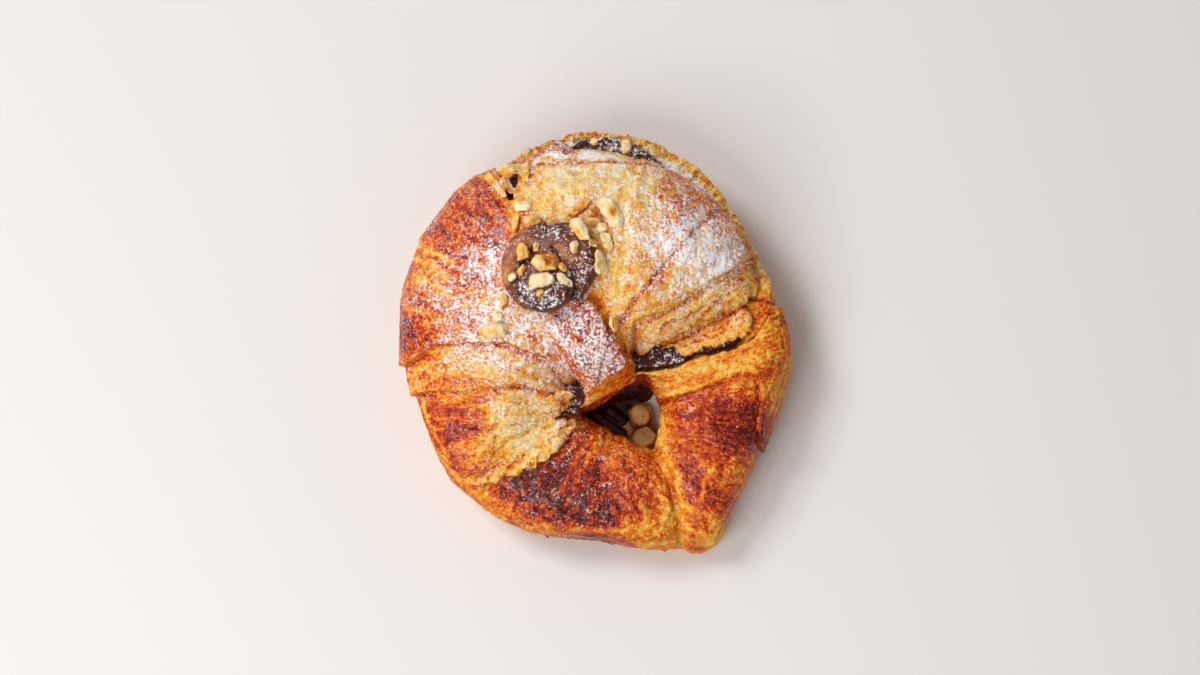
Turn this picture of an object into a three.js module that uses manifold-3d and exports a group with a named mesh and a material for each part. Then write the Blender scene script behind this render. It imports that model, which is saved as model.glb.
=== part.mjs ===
// A chocolate hazelnut croissant: a fat crescent curled until its horns touch, sliced level
// and filled with chocolate hazelnut cream, with its lid put back a little off centre.
// A swirl of the same cream and chopped hazelnuts lie on the lid.
// Millimetres, +Z up. The origin is the middle of the footprint, on the surface it rests on.
// Seen from above with +Y up the page, the horns meet at the lower right.

import * as THREE from 'three';
import Module from 'manifold-3d';

const wasm = await Module();
wasm.setup();

// Driving dimensions
const cutHeight = 25; // the level that the knife went through at
const creamThickness = 4.2;
const clearance = 0.3; // between pieces that rest on each other
const creamLow = cutHeight + clearance;
const creamHigh = creamLow + creamThickness;
const lidUnderside = creamHigh + clearance;
const hornLimit = lidUnderside - 0.6; // the horns stay under the lid that overhangs them
const lidCentre = 16; // height of the middle of the lid's arches, which are cut above it
const farAbove = 80; // higher than anything here, for cutting
const footDepth = 0.9; // the rolled dough is made this much deeper, and then cut level at its foot
const wrapThickness = 1.5; // one turn of the rolled dough over the next
const wrapSteps = { core: -2.4, middle: -1.5, right: -0.75, upper: 0, back: 0.7 }; // above the lid's form
const flapThickness = 1.8;
const finest = 0.1; // facets flatter than this are joined
const crustWobble = 0.6; // how far the baked surface strays from its smooth form

// The lower half, as lines across the crescent from the lower horn's tip round to the right one's.
// Each is [outer x, outer y, inner x, inner y, height of the crown].
const crescentLines = [
  [31, -73, 36, -66, 13],
  [21.5, -73.6, 34.5, -55, 21],
  [4, -70.8, 26, -41.5, 25.5],
  [-28, -65.4, 9.5, -33.5, 27.5],
  [-51.5, -48.5, -2, -27.5, 29],
  [-62.5, -16, -4.5, -25, 39],
  [-61, 22, -2.5, -24.5, 46],
  [-41, 56, 3, -22.5, 48],
  [-6, 76.8, 9.5, -18.5, 48],
  [34, 66, 15.5, -14, 47],
  [60.5, 29, 20, -14, 39],
  [69.8, -5, 24.5, -19.5, 30.5],
  [62.8, -31, 23.5, -31.5, 28.5],
  [53.5, -52, 21.5, -43, 26.5],
  [48, -63, 27, -57.5, 21.5],
  [44.6, -71, 29.5, -69.5, 16.5],
  [39, -74.6, 33.5, -74.6, 8],
];
const backLine = 8; // the line at the back, where the two halves of the crescent are joined

// The lid in the same form, from its end on the lower horn to its end by the right horn
const lidLines = [
  [-48.5, -52.5, -11, -31, 33],
  [-58.5, -39, -7, -25, 39.5],
  [-68.5, -6, -6.5, -17, 47],
  [-65.2, 27, -3, -15, 50],
  [-45.5, 57.5, 3.5, -13.5, 52],
  [-9, 68.6, 9, -11.5, 53],
  [24.5, 62.4, 13.5, -8.5, 52.5],
  [47.5, 44.5, 15.5, -7, 48.5],
  [59.5, 24, 16, -7.5, 42],
  [62, 15.5, 16.5, -8.5, 36],
];

// The last turn of dough, from under the swirl down to its blunt end over the hole
const tongueLines = [
  [3, 22, -18, 16, 44],
  [8, 12, -16, 5, 51.4],
  [13, 0, -11.5, -7, 50.4],
  [15.6, -7.2, -5, -15, 46],
  [16.4, -11, -1.5, -19.5, 40.5],
  [15.6, -16.8, -3, -26, 30.5],
];

// The swirl of cream: a thick coil, as lines from its middle outwards, and the disc it ends in
const swirlMiddle = [-11.3, 20.2];
const coilLines = [ // [direction in degrees, outer radius, inner radius, height of the crown]
  [-95, 14, 5, 54.5],
  [-140, 16.4, 5, 56.5],
  [-185, 17.2, 5, 57],
  [-230, 16, 4.5, 58],
  [-275, 16.4, 3.5, 59],
  [-320, 17.4, 3, 59.5],
  [-365, 17.6, 3.5, 59],
  [-405, 15, 4, 57],
  [-435, 12, 5, 54],
];
const disc = { middle: [-14.4, 15.4, 54.6], radii: [11.8, 11.3, 6] };
const lowestOfSwirl = 46;
const coilHeight = 5.5; // from the coil's widest line up to its crown

// The chopped hazelnuts: [x, y, length, width, direction of the length in degrees]
const nutsOnTop = [
  [9.9, 39, 11.8, 5.4, -58],
  [-1.2, 40.8, 9, 3.4, 34],
  [3.2, 37.2, 6, 5.6, 20],
  [-0.3, 31.4, 9.4, 4.6, -55],
  [-3.4, 35, 4.9, 2.4, -60],
  [6.6, 33.6, 3.8, 3.2, 80],
  [8.2, 28.4, 7.2, 3.6, -75],
  [3.6, 27, 4, 2.8, 10],
  [5.4, 20.6, 8.6, 3.2, -84],
  [-2.4, 25.6, 4.6, 3, 75],
  [-21.2, 42.6, 5.8, 3.6, 0],
  [-18, 35.6, 6.6, 6, 8],
  [-23.8, 36.2, 6.8, 2.6, 80],
  [-20.4, 24.6, 7.6, 4.2, 100],
  [-15.8, 26, 4.6, 2.6, 100],
  [-12.4, 19.8, 9.2, 5.4, 6],
  [-13.4, 13.8, 8.6, 4.6, 8],
  [-20.4, 17.6, 4, 2.6, 70],
  [-23.6, 15.6, 3.4, 2.2, 30],
  [-6, 14, 6.6, 2.8, -35],
  [-6.6, 18.4, 3.8, 2.4, -40],
  [-14, 9.8, 3, 2.4, 15],
  [-27.8, 8.4, 5.6, 2.6, 85],
  [-29.4, 3.6, 3.4, 2.8, 10],
  [-31.4, -1.4, 9.6, 5, 10],
  [9.6, 0.6, 5.8, 3.6, 80],
];
const nutsBelow = [ // on the cream that shows behind the lid and in the split, and on the slice
  [13.2, 69.6, 5.6, 3.6, 80],
  [1.8, 71.6, 3, 2.6, 20],
  [-29, 60.5, 7, 3.6, 50],
  [20.6, 70.2, 3.4, 2.4, 60],
];
const nutsInTheHole = [
  [16.4, -24.6, 9, 7, 100],
  [18, -32.4, 10, 7.2, 15],
  [11.2, -29, 6, 3.6, 120],
];
const nutThinness = 0.7; // height of a nut piece as a share of its width
const thinnestNut = 1.8;
const nutRise = 0.34; // of its height, from what a piece lies on up to its middle: the rest is sunk in
const fallenRise = 0.42; // the same on the flat surface in the hole
const nutBreaks = 3; // broken faces on a piece
const nutSeeds = { onTop: 10, below: 60, inTheHole: 90 };

// Outlines seen from above

const recess = [ // where the crescent was sliced; the horns in front of it were left whole
  [-90, -30], [-52, -37], [-34, -35], [-16, -30], [-4, -29], [2, -36], [9, -26], [16, -13],
  [24, -12.6], [31, -11.8], [37.5, -8.8], [44, -7], [51.5, -5.5], [58, -1.5], [64, 7],
  [90, 16], [90, 90], [-90, 90],
];
const recessTeeth = { first: 7, last: 14, pitch: 3, depth: 0.5, seed: 3 }; // its torn sides, and their teeth
const upperWrap = [ // a turn of dough over the back, from its curved step on the left to the right side
  [-90, -12], [-64.5, -9.7], [-51.5, -5.2], [-40.5, -4.7], [-27, -5.6], [-14, -10.1], [-3, -22],
  [12, -20], [17, 2], [26, 5], [39, 12], [51, 21], [62, 31], [90, 44], [90, 90], [-90, 90],
];
const middleWrap = [ // a lower step, between the curved step and the lid's left end
  [-90, -22], [-58, -20.5], [-48.3, -20.6], [-42.9, -21.4], [-36.5, -20.4], [-24, -19], [-12, -21],
  [0, -30], [10, 0], [60, 60], [-90, 60],
];
const rightWrap = [ // the layers that show in front of that turn on the right
  [10, -30], [90, -30], [90, 60], [12, 20],
];
const backWrap = [ // the edge of a turn that runs from the swirl to the back rim, and all to its right
  [6, 20], [12, 34], [17, 46], [19, 58], [18, 80], [90, 80], [90, 24], [60, 26], [44, 17],
  [28, 8], [14, 4],
];
const frontFlap = [ // thin torn crust lying on the lower horn
  [-5, -20], [-6.2, -25.5], [-4.6, -31.8], [-9, -36], [-10.5, -40.6], [-16, -43.9], [-23.5, -47.6],
  [-29.5, -49.3], [-36, -51.4], [-46, -53.5], [-52, -47], [-44, -36], [-26, -27],
];
const frontTeeth = { first: 1, last: 9, pitch: 2.4, depth: 0.9, seed: 11 };
const rightFlap = [ // thin torn crust lying on the cream behind the right horn
  [20, -2], [24.5, -3.8], [28, -4.6], [33.6, -8.6], [39, -6.3], [42, -4.6], [46, -3.9], [50, -2.2],
  [55, -0.9], [57.7, 2], [57.6, 5.4], [55.4, 7.4], [56, 13], [40, 10],
];
const rightTeeth = { first: 1, last: 11, pitch: 2.4, depth: 0.7, seed: 5 };
const rightBand = [ // a short turn across the right horn, with a strip of it down the horn's outer side
  [10, -8], [14, -17], [19, -20.5], [26, -22], [33, -21.2], [39, -19.4], [45.5, -17.2], [51, -14.4],
  [56, -12.6], [59.4, -15], [60.8, -24], [59.6, -33], [60.5, -40], [66, -46], [90, -40],
  [90, 8], [56, 12], [36, 2],
];
const notch = [ // the split in the lid's back edge, behind the swirl
  [-38, 80], [-34, 62], [-30.5, 53], [-27, 45.5], [-24.8, 46], [-24.2, 54], [-25.5, 62], [-26, 80],
];
const cream = [ // it reaches past the lid at the back, and into the two gaps in front
  [-8.5, -27], [-3, -28.5], [-1.2, -22], [5, -18.5], [13, -14.4], [18, -11.6], [24, -11.6], [31, -10.6],
  [37.5, -7.5], [44, -5.6], [51, -4], [56, 0.5], [58.5, 9], [56, 20], [47, 37], [38, 50],
  [29, 60], [23, 67], [12, 73], [0, 73.6], [-8, 70.2], [-14, 70], [-20, 66], [-30, 61], [-44, 52],
  [-56, 36], [-60.5, 16], [-60.5, -4], [-56, -22], [-48, -33.5], [-34, -33.5], [-18, -28.5],
];

// From three.js geometry to a solid, and back

function solidFrom(positions, triangles) {
  const mesh = new wasm.Mesh({
    numProp: 3,
    vertProperties: Float32Array.from(positions),
    triVerts: Uint32Array.from(triangles),
  });
  const solid = new wasm.Manifold(mesh);
  if (solid.volume() <= 0) throw new Error('a solid is inside out or empty');
  return solid;
}

function solidOf(geometry) {
  const positions = [];
  const triangles = [];
  const known = new Map();
  const source = geometry.index ? geometry.toNonIndexed() : geometry;
  const place = source.getAttribute('position');
  for (let i = 0; i < place.count; i += 3) {
    const corners = [0, 1, 2].map((k) => {
      const point = [place.getX(i + k), place.getY(i + k), place.getZ(i + k)];
      const key = point.map((value) => Math.round(value * 1e4)).join(' ');
      if (!known.has(key)) {
        known.set(key, known.size);
        positions.push(...point);
      }
      return known.get(key);
    });
    if (new Set(corners).size === 3) triangles.push(...corners);
  }
  return solidFrom(positions, triangles);
}

function geometryOf(solid) {
  const { vertProperties, triVerts } = solid.getMesh();
  const indexed = new THREE.BufferGeometry();
  indexed.setAttribute('position', new THREE.BufferAttribute(new Float32Array(vertProperties), 3));
  indexed.setIndex(new THREE.BufferAttribute(new Uint32Array(triVerts), 1));
  const geometry = indexed.toNonIndexed();
  geometry.computeVertexNormals();
  return geometry;
}

function columnOver(outline, low, high) {
  const shape = new THREE.Shape(outline.map(([x, y]) => new THREE.Vector2(x, y)));
  const column = new THREE.ExtrudeGeometry(shape, { depth: high - low, bevelEnabled: false });
  return solidOf(column.translate(0, 0, low));
}

function levelCut(solid, low, high) {
  const slab = new THREE.BoxGeometry(400, 400, high - low).translate(0, 0, (low + high) / 2);
  return solid.intersect(solidOf(slab));
}

function largestOf(solid) {
  const bodies = solid.decompose();
  return bodies.reduce((best, body) => (body.volume() > best.volume() ? body : best));
}

// Outlines: a smooth closed curve through points, and a torn edge with small teeth

function randomFrom(seed) {
  let state = seed * 7919 + 17;
  return () => {
    state = (state * 1103515245 + 12345) % 2147483648;
    return state / 2147483648;
  };
}

function smoothed(outline, count) {
  const curve = new THREE.CatmullRomCurve3(outline.map(([x, y]) => new THREE.Vector3(x, y, 0)), true);
  return curve.getSpacedPoints(count).slice(0, count).map(({ x, y }) => [x, y]);
}

function torn(outline, { first, last, pitch, depth, seed }) {
  const random = randomFrom(seed);
  const made = [];
  outline.forEach((point, i) => {
    made.push(point);
    if (i < first || i >= last) return;
    const run = [outline[i + 1][0] - point[0], outline[i + 1][1] - point[1]];
    const length = Math.hypot(...run);
    const teeth = Math.round(length / pitch);
    for (let k = 1; k < teeth; k += 1) {
      const along = (k + (random() - 0.5) * 0.5) / teeth;
      const out = (random() - 0.5) * 2 * depth;
      made.push([
        point[0] + run[0] * along + (run[1] / length) * out,
        point[1] + run[1] * along - (run[0] / length) * out,
      ]);
    }
  });
  return made;
}

// Rolled dough: a closed skin through arched sections that stand on the lines across it

function wobble(x, y, z) {
  const slow = Math.sin(x * 0.21 + z * 0.13) * Math.cos(y * 0.19 - z * 0.11);
  const quick = Math.sin(x * 0.47 - y * 0.39) * Math.sin(y * 0.53 + z * 0.41);
  return crustWobble * (0.7 * slow + 0.5 * quick);
}

function archedSection(outer, inner, crown, form) {
  const { widestAt, trueAt, roundness, lowest, steps, swell } = form;
  const middle = [(outer.x + inner.x) / 2, (outer.y + inner.y) / 2];
  const half = [(outer.x - inner.x) / 2, (outer.y - inner.y) / 2];
  const widest = widestAt(crown);
  const trueUp = (Math.max(0, trueAt - widest) / (crown - widest)) ** (1 / roundness);
  const trueAcross = Math.sqrt(1 - trueUp ** 2) ** roundness;
  const stretch = (1 + swell / Math.hypot(...half)) / trueAcross;
  const points = [];
  for (let k = 0; k <= steps; k += 1) {
    const angle = lowest + (Math.PI - 2 * lowest) * (k / steps);
    const across = Math.sign(Math.cos(angle)) * Math.abs(Math.cos(angle)) ** roundness * stretch;
    const up = Math.sin(angle);
    const rise = up > 0
      ? (crown + swell - widest) * up ** roundness
      : -(widest + footDepth) * Math.sqrt(Math.abs(up));
    const x = middle[0] + half[0] * across;
    const y = middle[1] + half[1] * across;
    const stray = wobble(x, y, widest + rise);
    const outward = (stray * Math.cos(angle)) / Math.hypot(...half);
    points.push(x + half[0] * outward, y + half[1] * outward, widest + rise + stray * up);
  }
  return points;
}

function rolledDough(lines, { from = 0, to = lines.length - 1, rings, ...form }) {
  const outerEdge = new THREE.CatmullRomCurve3(lines.map((l) => new THREE.Vector3(l[0], l[1], l[4])));
  const innerEdge = new THREE.CatmullRomCurve3(lines.map((l) => new THREE.Vector3(l[2], l[3], l[4])));
  const sides = form.steps + 1;
  const positions = [];
  const triangles = [];
  for (let ring = 0; ring <= rings; ring += 1) {
    const along = (from + (to - from) * (ring / rings)) / (lines.length - 1);
    const outer = outerEdge.getPoint(along);
    const inner = innerEdge.getPoint(along);
    positions.push(...archedSection(outer, inner, outer.z, form));
  }
  const at = (ring, side) => ring * sides + (side % sides);
  for (let ring = 0; ring < rings; ring += 1) {
    for (let side = 0; side < sides; side += 1) {
      const corners = [at(ring, side), at(ring, side + 1), at(ring + 1, side + 1), at(ring + 1, side)];
      triangles.push(corners[0], corners[1], corners[2], corners[0], corners[2], corners[3]);
    }
  }
  for (let side = 1; side < sides - 1; side += 1) {
    triangles.push(at(0, 0), at(0, side + 1), at(0, side));
    triangles.push(at(rings, 0), at(rings, side), at(rings, side + 1));
  }
  return solidFrom(positions, triangles);
}

// The lower half

function wholeCrescent(swell) {
  const form = {
    widestAt: (crown) => crown * 0.47,
    trueAt: 0,
    roundness: 0.83,
    lowest: -1.15,
    steps: 24,
    swell,
  };
  const leftPart = rolledDough(crescentLines, { ...form, to: backLine, rings: 36 });
  const rightPart = rolledDough(crescentLines, { ...form, from: backLine, rings: 34 });
  return levelCut(leftPart.add(rightPart), 0, farAbove);
}

function makeLowerHalf() {
  const band = wholeCrescent(wrapThickness).intersect(columnOver(rightBand, 4, farAbove));
  const sliced = columnOver(torn(recess, recessTeeth), cutHeight, farAbove);
  return levelCut(wholeCrescent(0).add(band).subtract(sliced), 0, hornLimit).simplify(finest);
}

// The lid

function domedLid(swell) {
  return rolledDough(lidLines, {
    widestAt: () => lidCentre,
    trueAt: lidUnderside,
    roundness: 0.88,
    lowest: 0.25,
    steps: 22,
    rings: 46,
    swell,
  });
}

function makeLid() {
  const turns = [
    [middleWrap, wrapSteps.middle],
    [rightWrap, wrapSteps.right],
    [upperWrap, wrapSteps.upper],
    [backWrap, wrapSteps.back],
  ];
  let lid = domedLid(wrapSteps.core);
  turns.forEach(([outline, swell]) => {
    lid = lid.add(domedLid(swell).intersect(columnOver(outline, 0, farAbove)));
  });
  const tongue = rolledDough(tongueLines, {
    widestAt: () => lidCentre,
    trueAt: lidUnderside,
    roundness: 0.5,
    lowest: 0.2,
    steps: 14,
    rings: 16,
    swell: 0,
  });
  lid = lid.add(tongue);
  const lifted = wholeCrescent(clearance + flapThickness).subtract(wholeCrescent(clearance));
  const front = lifted.intersect(columnOver(torn(frontFlap, frontTeeth), cutHeight, farAbove));
  const right = columnOver(torn(rightFlap, rightTeeth), lidUnderside, lidUnderside + flapThickness);
  const overCream = columnOver(recess, 0, lidUnderside);
  return levelCut(lid, lidUnderside, farAbove).add(front.subtract(overCream)).add(right)
    .subtract(columnOver(notch, 0, farAbove)).simplify(finest);
}

// The cream between them

function makeCream() {
  const shape = new THREE.Shape(smoothed(cream, 72).map(([x, y]) => new THREE.Vector2(x, y)));
  const bevel = 1.2;
  const slab = new THREE.ExtrudeGeometry(shape, {
    depth: creamThickness - 2 * bevel,
    bevelThickness: bevel,
    bevelSize: bevel,
    bevelOffset: -bevel,
    bevelSegments: 2,
  });
  return solidOf(slab.translate(0, 0, creamLow + bevel));
}

// The swirl of cream on the lid

function makeSwirl(lid) {
  const lines = coilLines.map(([direction, outer, inner, crown]) => {
    const turn = THREE.MathUtils.degToRad(direction);
    const reach = [Math.cos(turn), Math.sin(turn)];
    const at = (radius) => [swirlMiddle[0] + reach[0] * radius, swirlMiddle[1] + reach[1] * radius];
    return [...at(outer), ...at(inner), crown];
  });
  const coil = rolledDough(lines, {
    widestAt: (crown) => crown - coilHeight,
    trueAt: 0,
    roundness: 0.95,
    lowest: -0.9,
    steps: 12,
    rings: 26,
    swell: 0,
  });
  const ball = new THREE.SphereGeometry(1, 20, 12).scale(...disc.radii).translate(...disc.middle);
  const above = levelCut(coil.add(solidOf(ball)), lowestOfSwirl, farAbove);
  return largestOf(above.subtract(lid).subtract(lid.translate([0, 0, clearance])));
}

// Chopped hazelnuts: rounded kernels with flat broken faces, set down on what lies under them

function brokenNut(length, width, height, random) {
  let nut = solidOf(new THREE.SphereGeometry(1, 6, 4).rotateX(Math.PI / 2));
  const block = 4; // larger than the kernel, whose radius is 1
  for (let k = 0; k < nutBreaks; k += 1) {
    const turn = (k + random() * 0.8) * ((2 * Math.PI) / nutBreaks);
    const rise = (random() - 0.35) * 1.2;
    const facing = new THREE.Vector3(Math.cos(turn), Math.sin(turn), rise).normalize();
    const kept = 0.6 + random() * 0.2; // of the radius
    const away = new THREE.BoxGeometry(block, block, block).translate(0, 0, block / 2 + kept);
    away.applyQuaternion(new THREE.Quaternion().setFromUnitVectors(new THREE.Vector3(0, 0, 1), facing));
    nut = nut.subtract(solidOf(away));
  }
  const { min, max } = nut.boundingBox();
  const grow = [length / (max[0] - min[0]), width / (max[1] - min[1]), height / (max[2] - min[2])];
  return nut.translate([0, 1, 2].map((k) => -(min[k] + max[k]) / 2)).scale(grow);
}

function setDown(nut, point, facing, height, direction) {
  const upright = new THREE.Quaternion().setFromUnitVectors(new THREE.Vector3(0, 0, 1), facing);
  const turned = new THREE.Matrix4().makeRotationZ(THREE.MathUtils.degToRad(direction));
  const place = new THREE.Matrix4().makeRotationFromQuaternion(upright).multiply(turned);
  place.setPosition(point.clone().addScaledVector(facing, height * nutRise));
  return nut.transform(place.elements);
}

function centreOf(solid) {
  const { min, max } = solid.boundingBox();
  return new THREE.Vector3(...min).add(new THREE.Vector3(...max)).multiplyScalar(0.5);
}

function touching(solid, other) {
  const a = solid.boundingBox();
  const b = other.boundingBox();
  return [0, 1, 2].every((k) => a.min[k] < b.max[k] + clearance && b.min[k] < a.max[k] + clearance);
}

function makeNuts(places, seed, supports) {
  const ray = new THREE.Raycaster();
  const grounds = supports.map((solid) => new THREE.Mesh(geometryOf(solid)));
  const made = [];
  places.forEach(([x, y, length, width, direction], i) => {
    const random = randomFrom(seed + i);
    const height = Math.max(thinnestNut, width * nutThinness);
    ray.set(new THREE.Vector3(x, y, farAbove), new THREE.Vector3(0, 0, -1));
    const [ground] = ray.intersectObjects(grounds);
    const facing = ground.face.normal.clone().add(new THREE.Vector3(0, 0, 0.5)).normalize();
    const shift = facing.clone().multiplyScalar(clearance).toArray();
    let nut = setDown(brokenNut(length, width, height, random), ground.point, facing, height, direction);
    supports.forEach((solid) => {
      nut = nut.subtract(solid).subtract(solid.translate(shift));
    });
    made.filter((other) => touching(nut, other)).forEach((other) => {
      const step = centreOf(nut).sub(centreOf(other)).setLength(clearance * 1.5).toArray();
      nut = nut.subtract(other).subtract(other.translate(step));
    });
    made.push(largestOf(nut).simplify(clearance / 3));
  });
  return made;
}

function makeFallenNuts() {
  return nutsInTheHole.map(([x, y, length, width, direction], i) => {
    const height = width * nutThinness;
    const turn = THREE.MathUtils.degToRad(direction);
    const nut = brokenNut(length, width, height, randomFrom(nutSeeds.inTheHole + i));
    const turned = new THREE.Matrix4().makeRotationZ(turn).setPosition(x, y, height * fallenRise);
    return levelCut(nut.transform(turned.elements), 0, farAbove);
  });
}

// The whole thing

const lowerHalf = makeLowerHalf();
const lid = makeLid();
const filling = makeCream();
const swirl = makeSwirl(lid);
const nuts = [
  ...makeNuts(nutsOnTop, nutSeeds.onTop, [lid, swirl]),
  ...makeNuts(nutsBelow, nutSeeds.below, [lowerHalf, filling, lid]),
  ...makeFallenNuts(),
];

const croissant = new THREE.Group();

function addPiece(name, solid, color, roughness) {
  const material = new THREE.MeshStandardMaterial({ color, roughness, metalness: 0 });
  const mesh = new THREE.Mesh(geometryOf(solid), material);
  mesh.name = name;
  croissant.add(mesh);
}

addPiece('lower_half', lowerHalf, 0xa5551f, 0.55);
addPiece('chocolate_filling', filling, 0x35170e, 0.3);
addPiece('lid', lid, 0xcf8f4c, 0.75);
addPiece('chocolate_swirl', swirl, 0x4a2618, 0.5);
nuts.forEach((nut, i) => addPiece(`hazelnut_${String(i + 1).padStart(2, '0')}`, nut, 0xe9c88c, 0.6));

const middle = new THREE.Box3().setFromObject(croissant).getCenter(new THREE.Vector3());
croissant.position.set(-middle.x, -middle.y, 0);

export default croissant;
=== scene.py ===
import math

import bmesh
import bpy
import numpy as np
from mathutils import Matrix, Vector


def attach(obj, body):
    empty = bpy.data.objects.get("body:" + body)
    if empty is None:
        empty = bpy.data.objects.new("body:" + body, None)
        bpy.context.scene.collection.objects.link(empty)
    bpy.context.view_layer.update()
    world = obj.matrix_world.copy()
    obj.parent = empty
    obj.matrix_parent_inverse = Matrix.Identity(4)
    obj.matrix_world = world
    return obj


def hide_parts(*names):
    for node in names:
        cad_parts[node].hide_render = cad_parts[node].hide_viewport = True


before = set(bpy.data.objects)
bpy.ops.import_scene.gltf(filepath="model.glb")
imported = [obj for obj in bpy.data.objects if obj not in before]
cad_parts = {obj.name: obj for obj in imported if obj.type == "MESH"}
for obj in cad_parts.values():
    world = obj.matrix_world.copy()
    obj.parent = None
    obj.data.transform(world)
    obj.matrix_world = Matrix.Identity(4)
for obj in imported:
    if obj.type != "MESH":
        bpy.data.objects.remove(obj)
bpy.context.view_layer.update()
print("frame loaded")

# Places are in millimetres from the point that the croissant is drawn round, which lies here in the frame.
drawnFrom = np.array([-1.3552, -1.4390, 0.0])
ringMiddle = [8.0, -24.0]  # the hole, which the turns of dough run towards


def toFrame(points):
    return (np.asarray(points, float) + drawnFrom) / 1000


def fromFrame(points):
    return points * 1000 - drawnFrom


# Camera, light and floor
shot = {
    "lookAt": [3.0, 1.5, 20.0],
    "distance": 0.7,
    "tilt": 12.0,  # degrees off straight down
    "turn": 24.0,  # degrees from the front towards the right
    "lens": 58.33,
    "sensor": 36.0,
}


def linked(name, data):
    made = bpy.data.objects.new(name, data)
    bpy.context.scene.collection.objects.link(made)
    return made


def placeCamera():
    tilt = math.radians(shot["tilt"])
    turn = math.radians(shot["turn"])
    back = Vector((math.sin(tilt) * math.sin(turn), -math.sin(tilt) * math.cos(turn), math.cos(tilt)))
    across = Vector((0, 1, 0)).cross(back).normalized()
    up = back.cross(across)
    lens = bpy.data.cameras.new("camera")
    lens.lens = shot["lens"]
    lens.sensor_width = shot["sensor"]
    camera = linked("camera", lens)
    placed = Matrix((across, up, back)).transposed().to_4x4()
    placed.translation = Vector(toFrame(shot["lookAt"])) + back * shot["distance"]
    camera.matrix_world = placed
    bpy.context.scene.camera = camera


studio = {
    "floorColor": (230, 227, 224),
    "floorRoughness": 0.7,
    "floorReach": 3.0,  # metres, as the places and sizes of the lights are
    "floorUnder": 0.0002,
    "keyFrom": [-1.09, 0.78, 1.61],  # from the middle of the croissant
    "keySize": 0.73,
    "keyPower": 21.8,
    "fillFrom": [-0.45, -0.6, 0.8],
    "fillSize": 0.6,
    "fillPower": 5.6,
    "skyColor": (255, 252, 248),
    "sky": 0.34,
}


def tone(red, green, blue):
    # a colour as it looks on a screen, turned to the linear values that shaders take
    made = []
    for value in (red, green, blue):
        part = value / 255
        made.append(part / 12.92 if part <= 0.04045 else ((part + 0.055) / 1.055) ** 2.4)
    return (*made, 1.0)


def addLight(name):
    data = bpy.data.lights.new(name, "AREA")
    data.size = studio[name + "Size"]
    data.energy = studio[name + "Power"]
    light = linked(name, data)
    light.location = studio[name + "From"]
    light.rotation_euler = (-light.location).to_track_quat("-Z", "Y").to_euler()


def buildStudio():
    addLight("key")
    addLight("fill")
    scene = bpy.context.scene
    scene.view_settings.view_transform = "Standard"
    scene.world = bpy.data.worlds.new("sky")
    scene.world.use_nodes = True
    sky = scene.world.node_tree.nodes["Background"].inputs
    sky["Color"].default_value = tone(*studio["skyColor"])
    sky["Strength"].default_value = studio["sky"]
    reach, under = studio["floorReach"], -studio["floorUnder"]
    mesh = bpy.data.meshes.new("floor")
    corners = [(-reach, -reach, under), (reach, -reach, under), (reach, reach, under), (-reach, reach, under)]
    mesh.from_pydata(corners, [], [(0, 1, 2, 3)])
    material = bpy.data.materials.new("paleFloor")
    material.use_nodes = True
    shader = material.node_tree.nodes["Principled BSDF"]
    shader.inputs["Base Color"].default_value = tone(*studio["floorColor"])
    shader.inputs["Roughness"].default_value = studio["floorRoughness"]
    mesh.materials.append(material)
    linked("floor", mesh)


placeCamera()
buildStudio()
print("camera, light and floor")


# Meshes as arrays of points
def plainMesh(piece):
    # what the modifiers give, as a plain mesh
    return bpy.data.meshes.new_from_object(piece.evaluated_get(bpy.context.evaluated_depsgraph_get()))


def settle(piece):
    plain = plainMesh(piece)
    piece.modifiers.clear()
    piece.data = plain


def remeshed(piece, voxel):
    fine = piece.modifiers.new("fine", "REMESH")
    fine.mode = "VOXEL"
    fine.voxel_size = voxel / 1000
    settle(piece)
    return piece


def fineCopy(name, nodeName, voxel):
    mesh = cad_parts[nodeName].data.copy()
    mesh.materials.clear()
    work = bmesh.new()
    work.from_mesh(mesh)
    bmesh.ops.remove_doubles(work, verts=work.verts, dist=1e-6)
    work.to_mesh(mesh)
    work.free()
    return remeshed(linked(name, mesh), voxel)


def thinned(piece, mostTriangles):
    piece.data.calc_loop_triangles()
    count = len(piece.data.loop_triangles)
    if count > mostTriangles:
        fewer = piece.modifiers.new("fewer", "DECIMATE")
        fewer.ratio = mostTriangles / count
        settle(piece)


def pointsOf(piece):
    flat = np.empty(len(piece.data.vertices) * 3)
    piece.data.vertices.foreach_get("co", flat)
    return fromFrame(flat.reshape(-1, 3))


def movePoints(piece, points):
    piece.data.vertices.foreach_set("co", toFrame(points).ravel())
    piece.data.update()


def surfaceOf(piece):
    # its points and their normals
    flat = np.empty(len(piece.data.vertices) * 3)
    piece.data.vertex_normals.foreach_get("vector", flat)
    return pointsOf(piece), flat.reshape(-1, 3)


def paint(piece, **layers):
    for name, values in layers.items():
        layer = piece.data.attributes.new(name, "FLOAT", "POINT")
        layer.data.foreach_set("value", np.asarray(values, np.float32))


def paintFlow(piece, points, walls):
    # where streaks lie: along the turns on top, and level along the walls
    flow = blended(flowOf(points), points * streakLay["walls"], walls[:, None])
    layer = piece.data.attributes.new("flow", "FLOAT_VECTOR", "POINT")
    layer.data.foreach_set("vector", (flow / 1000).astype(np.float32).ravel())


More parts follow.
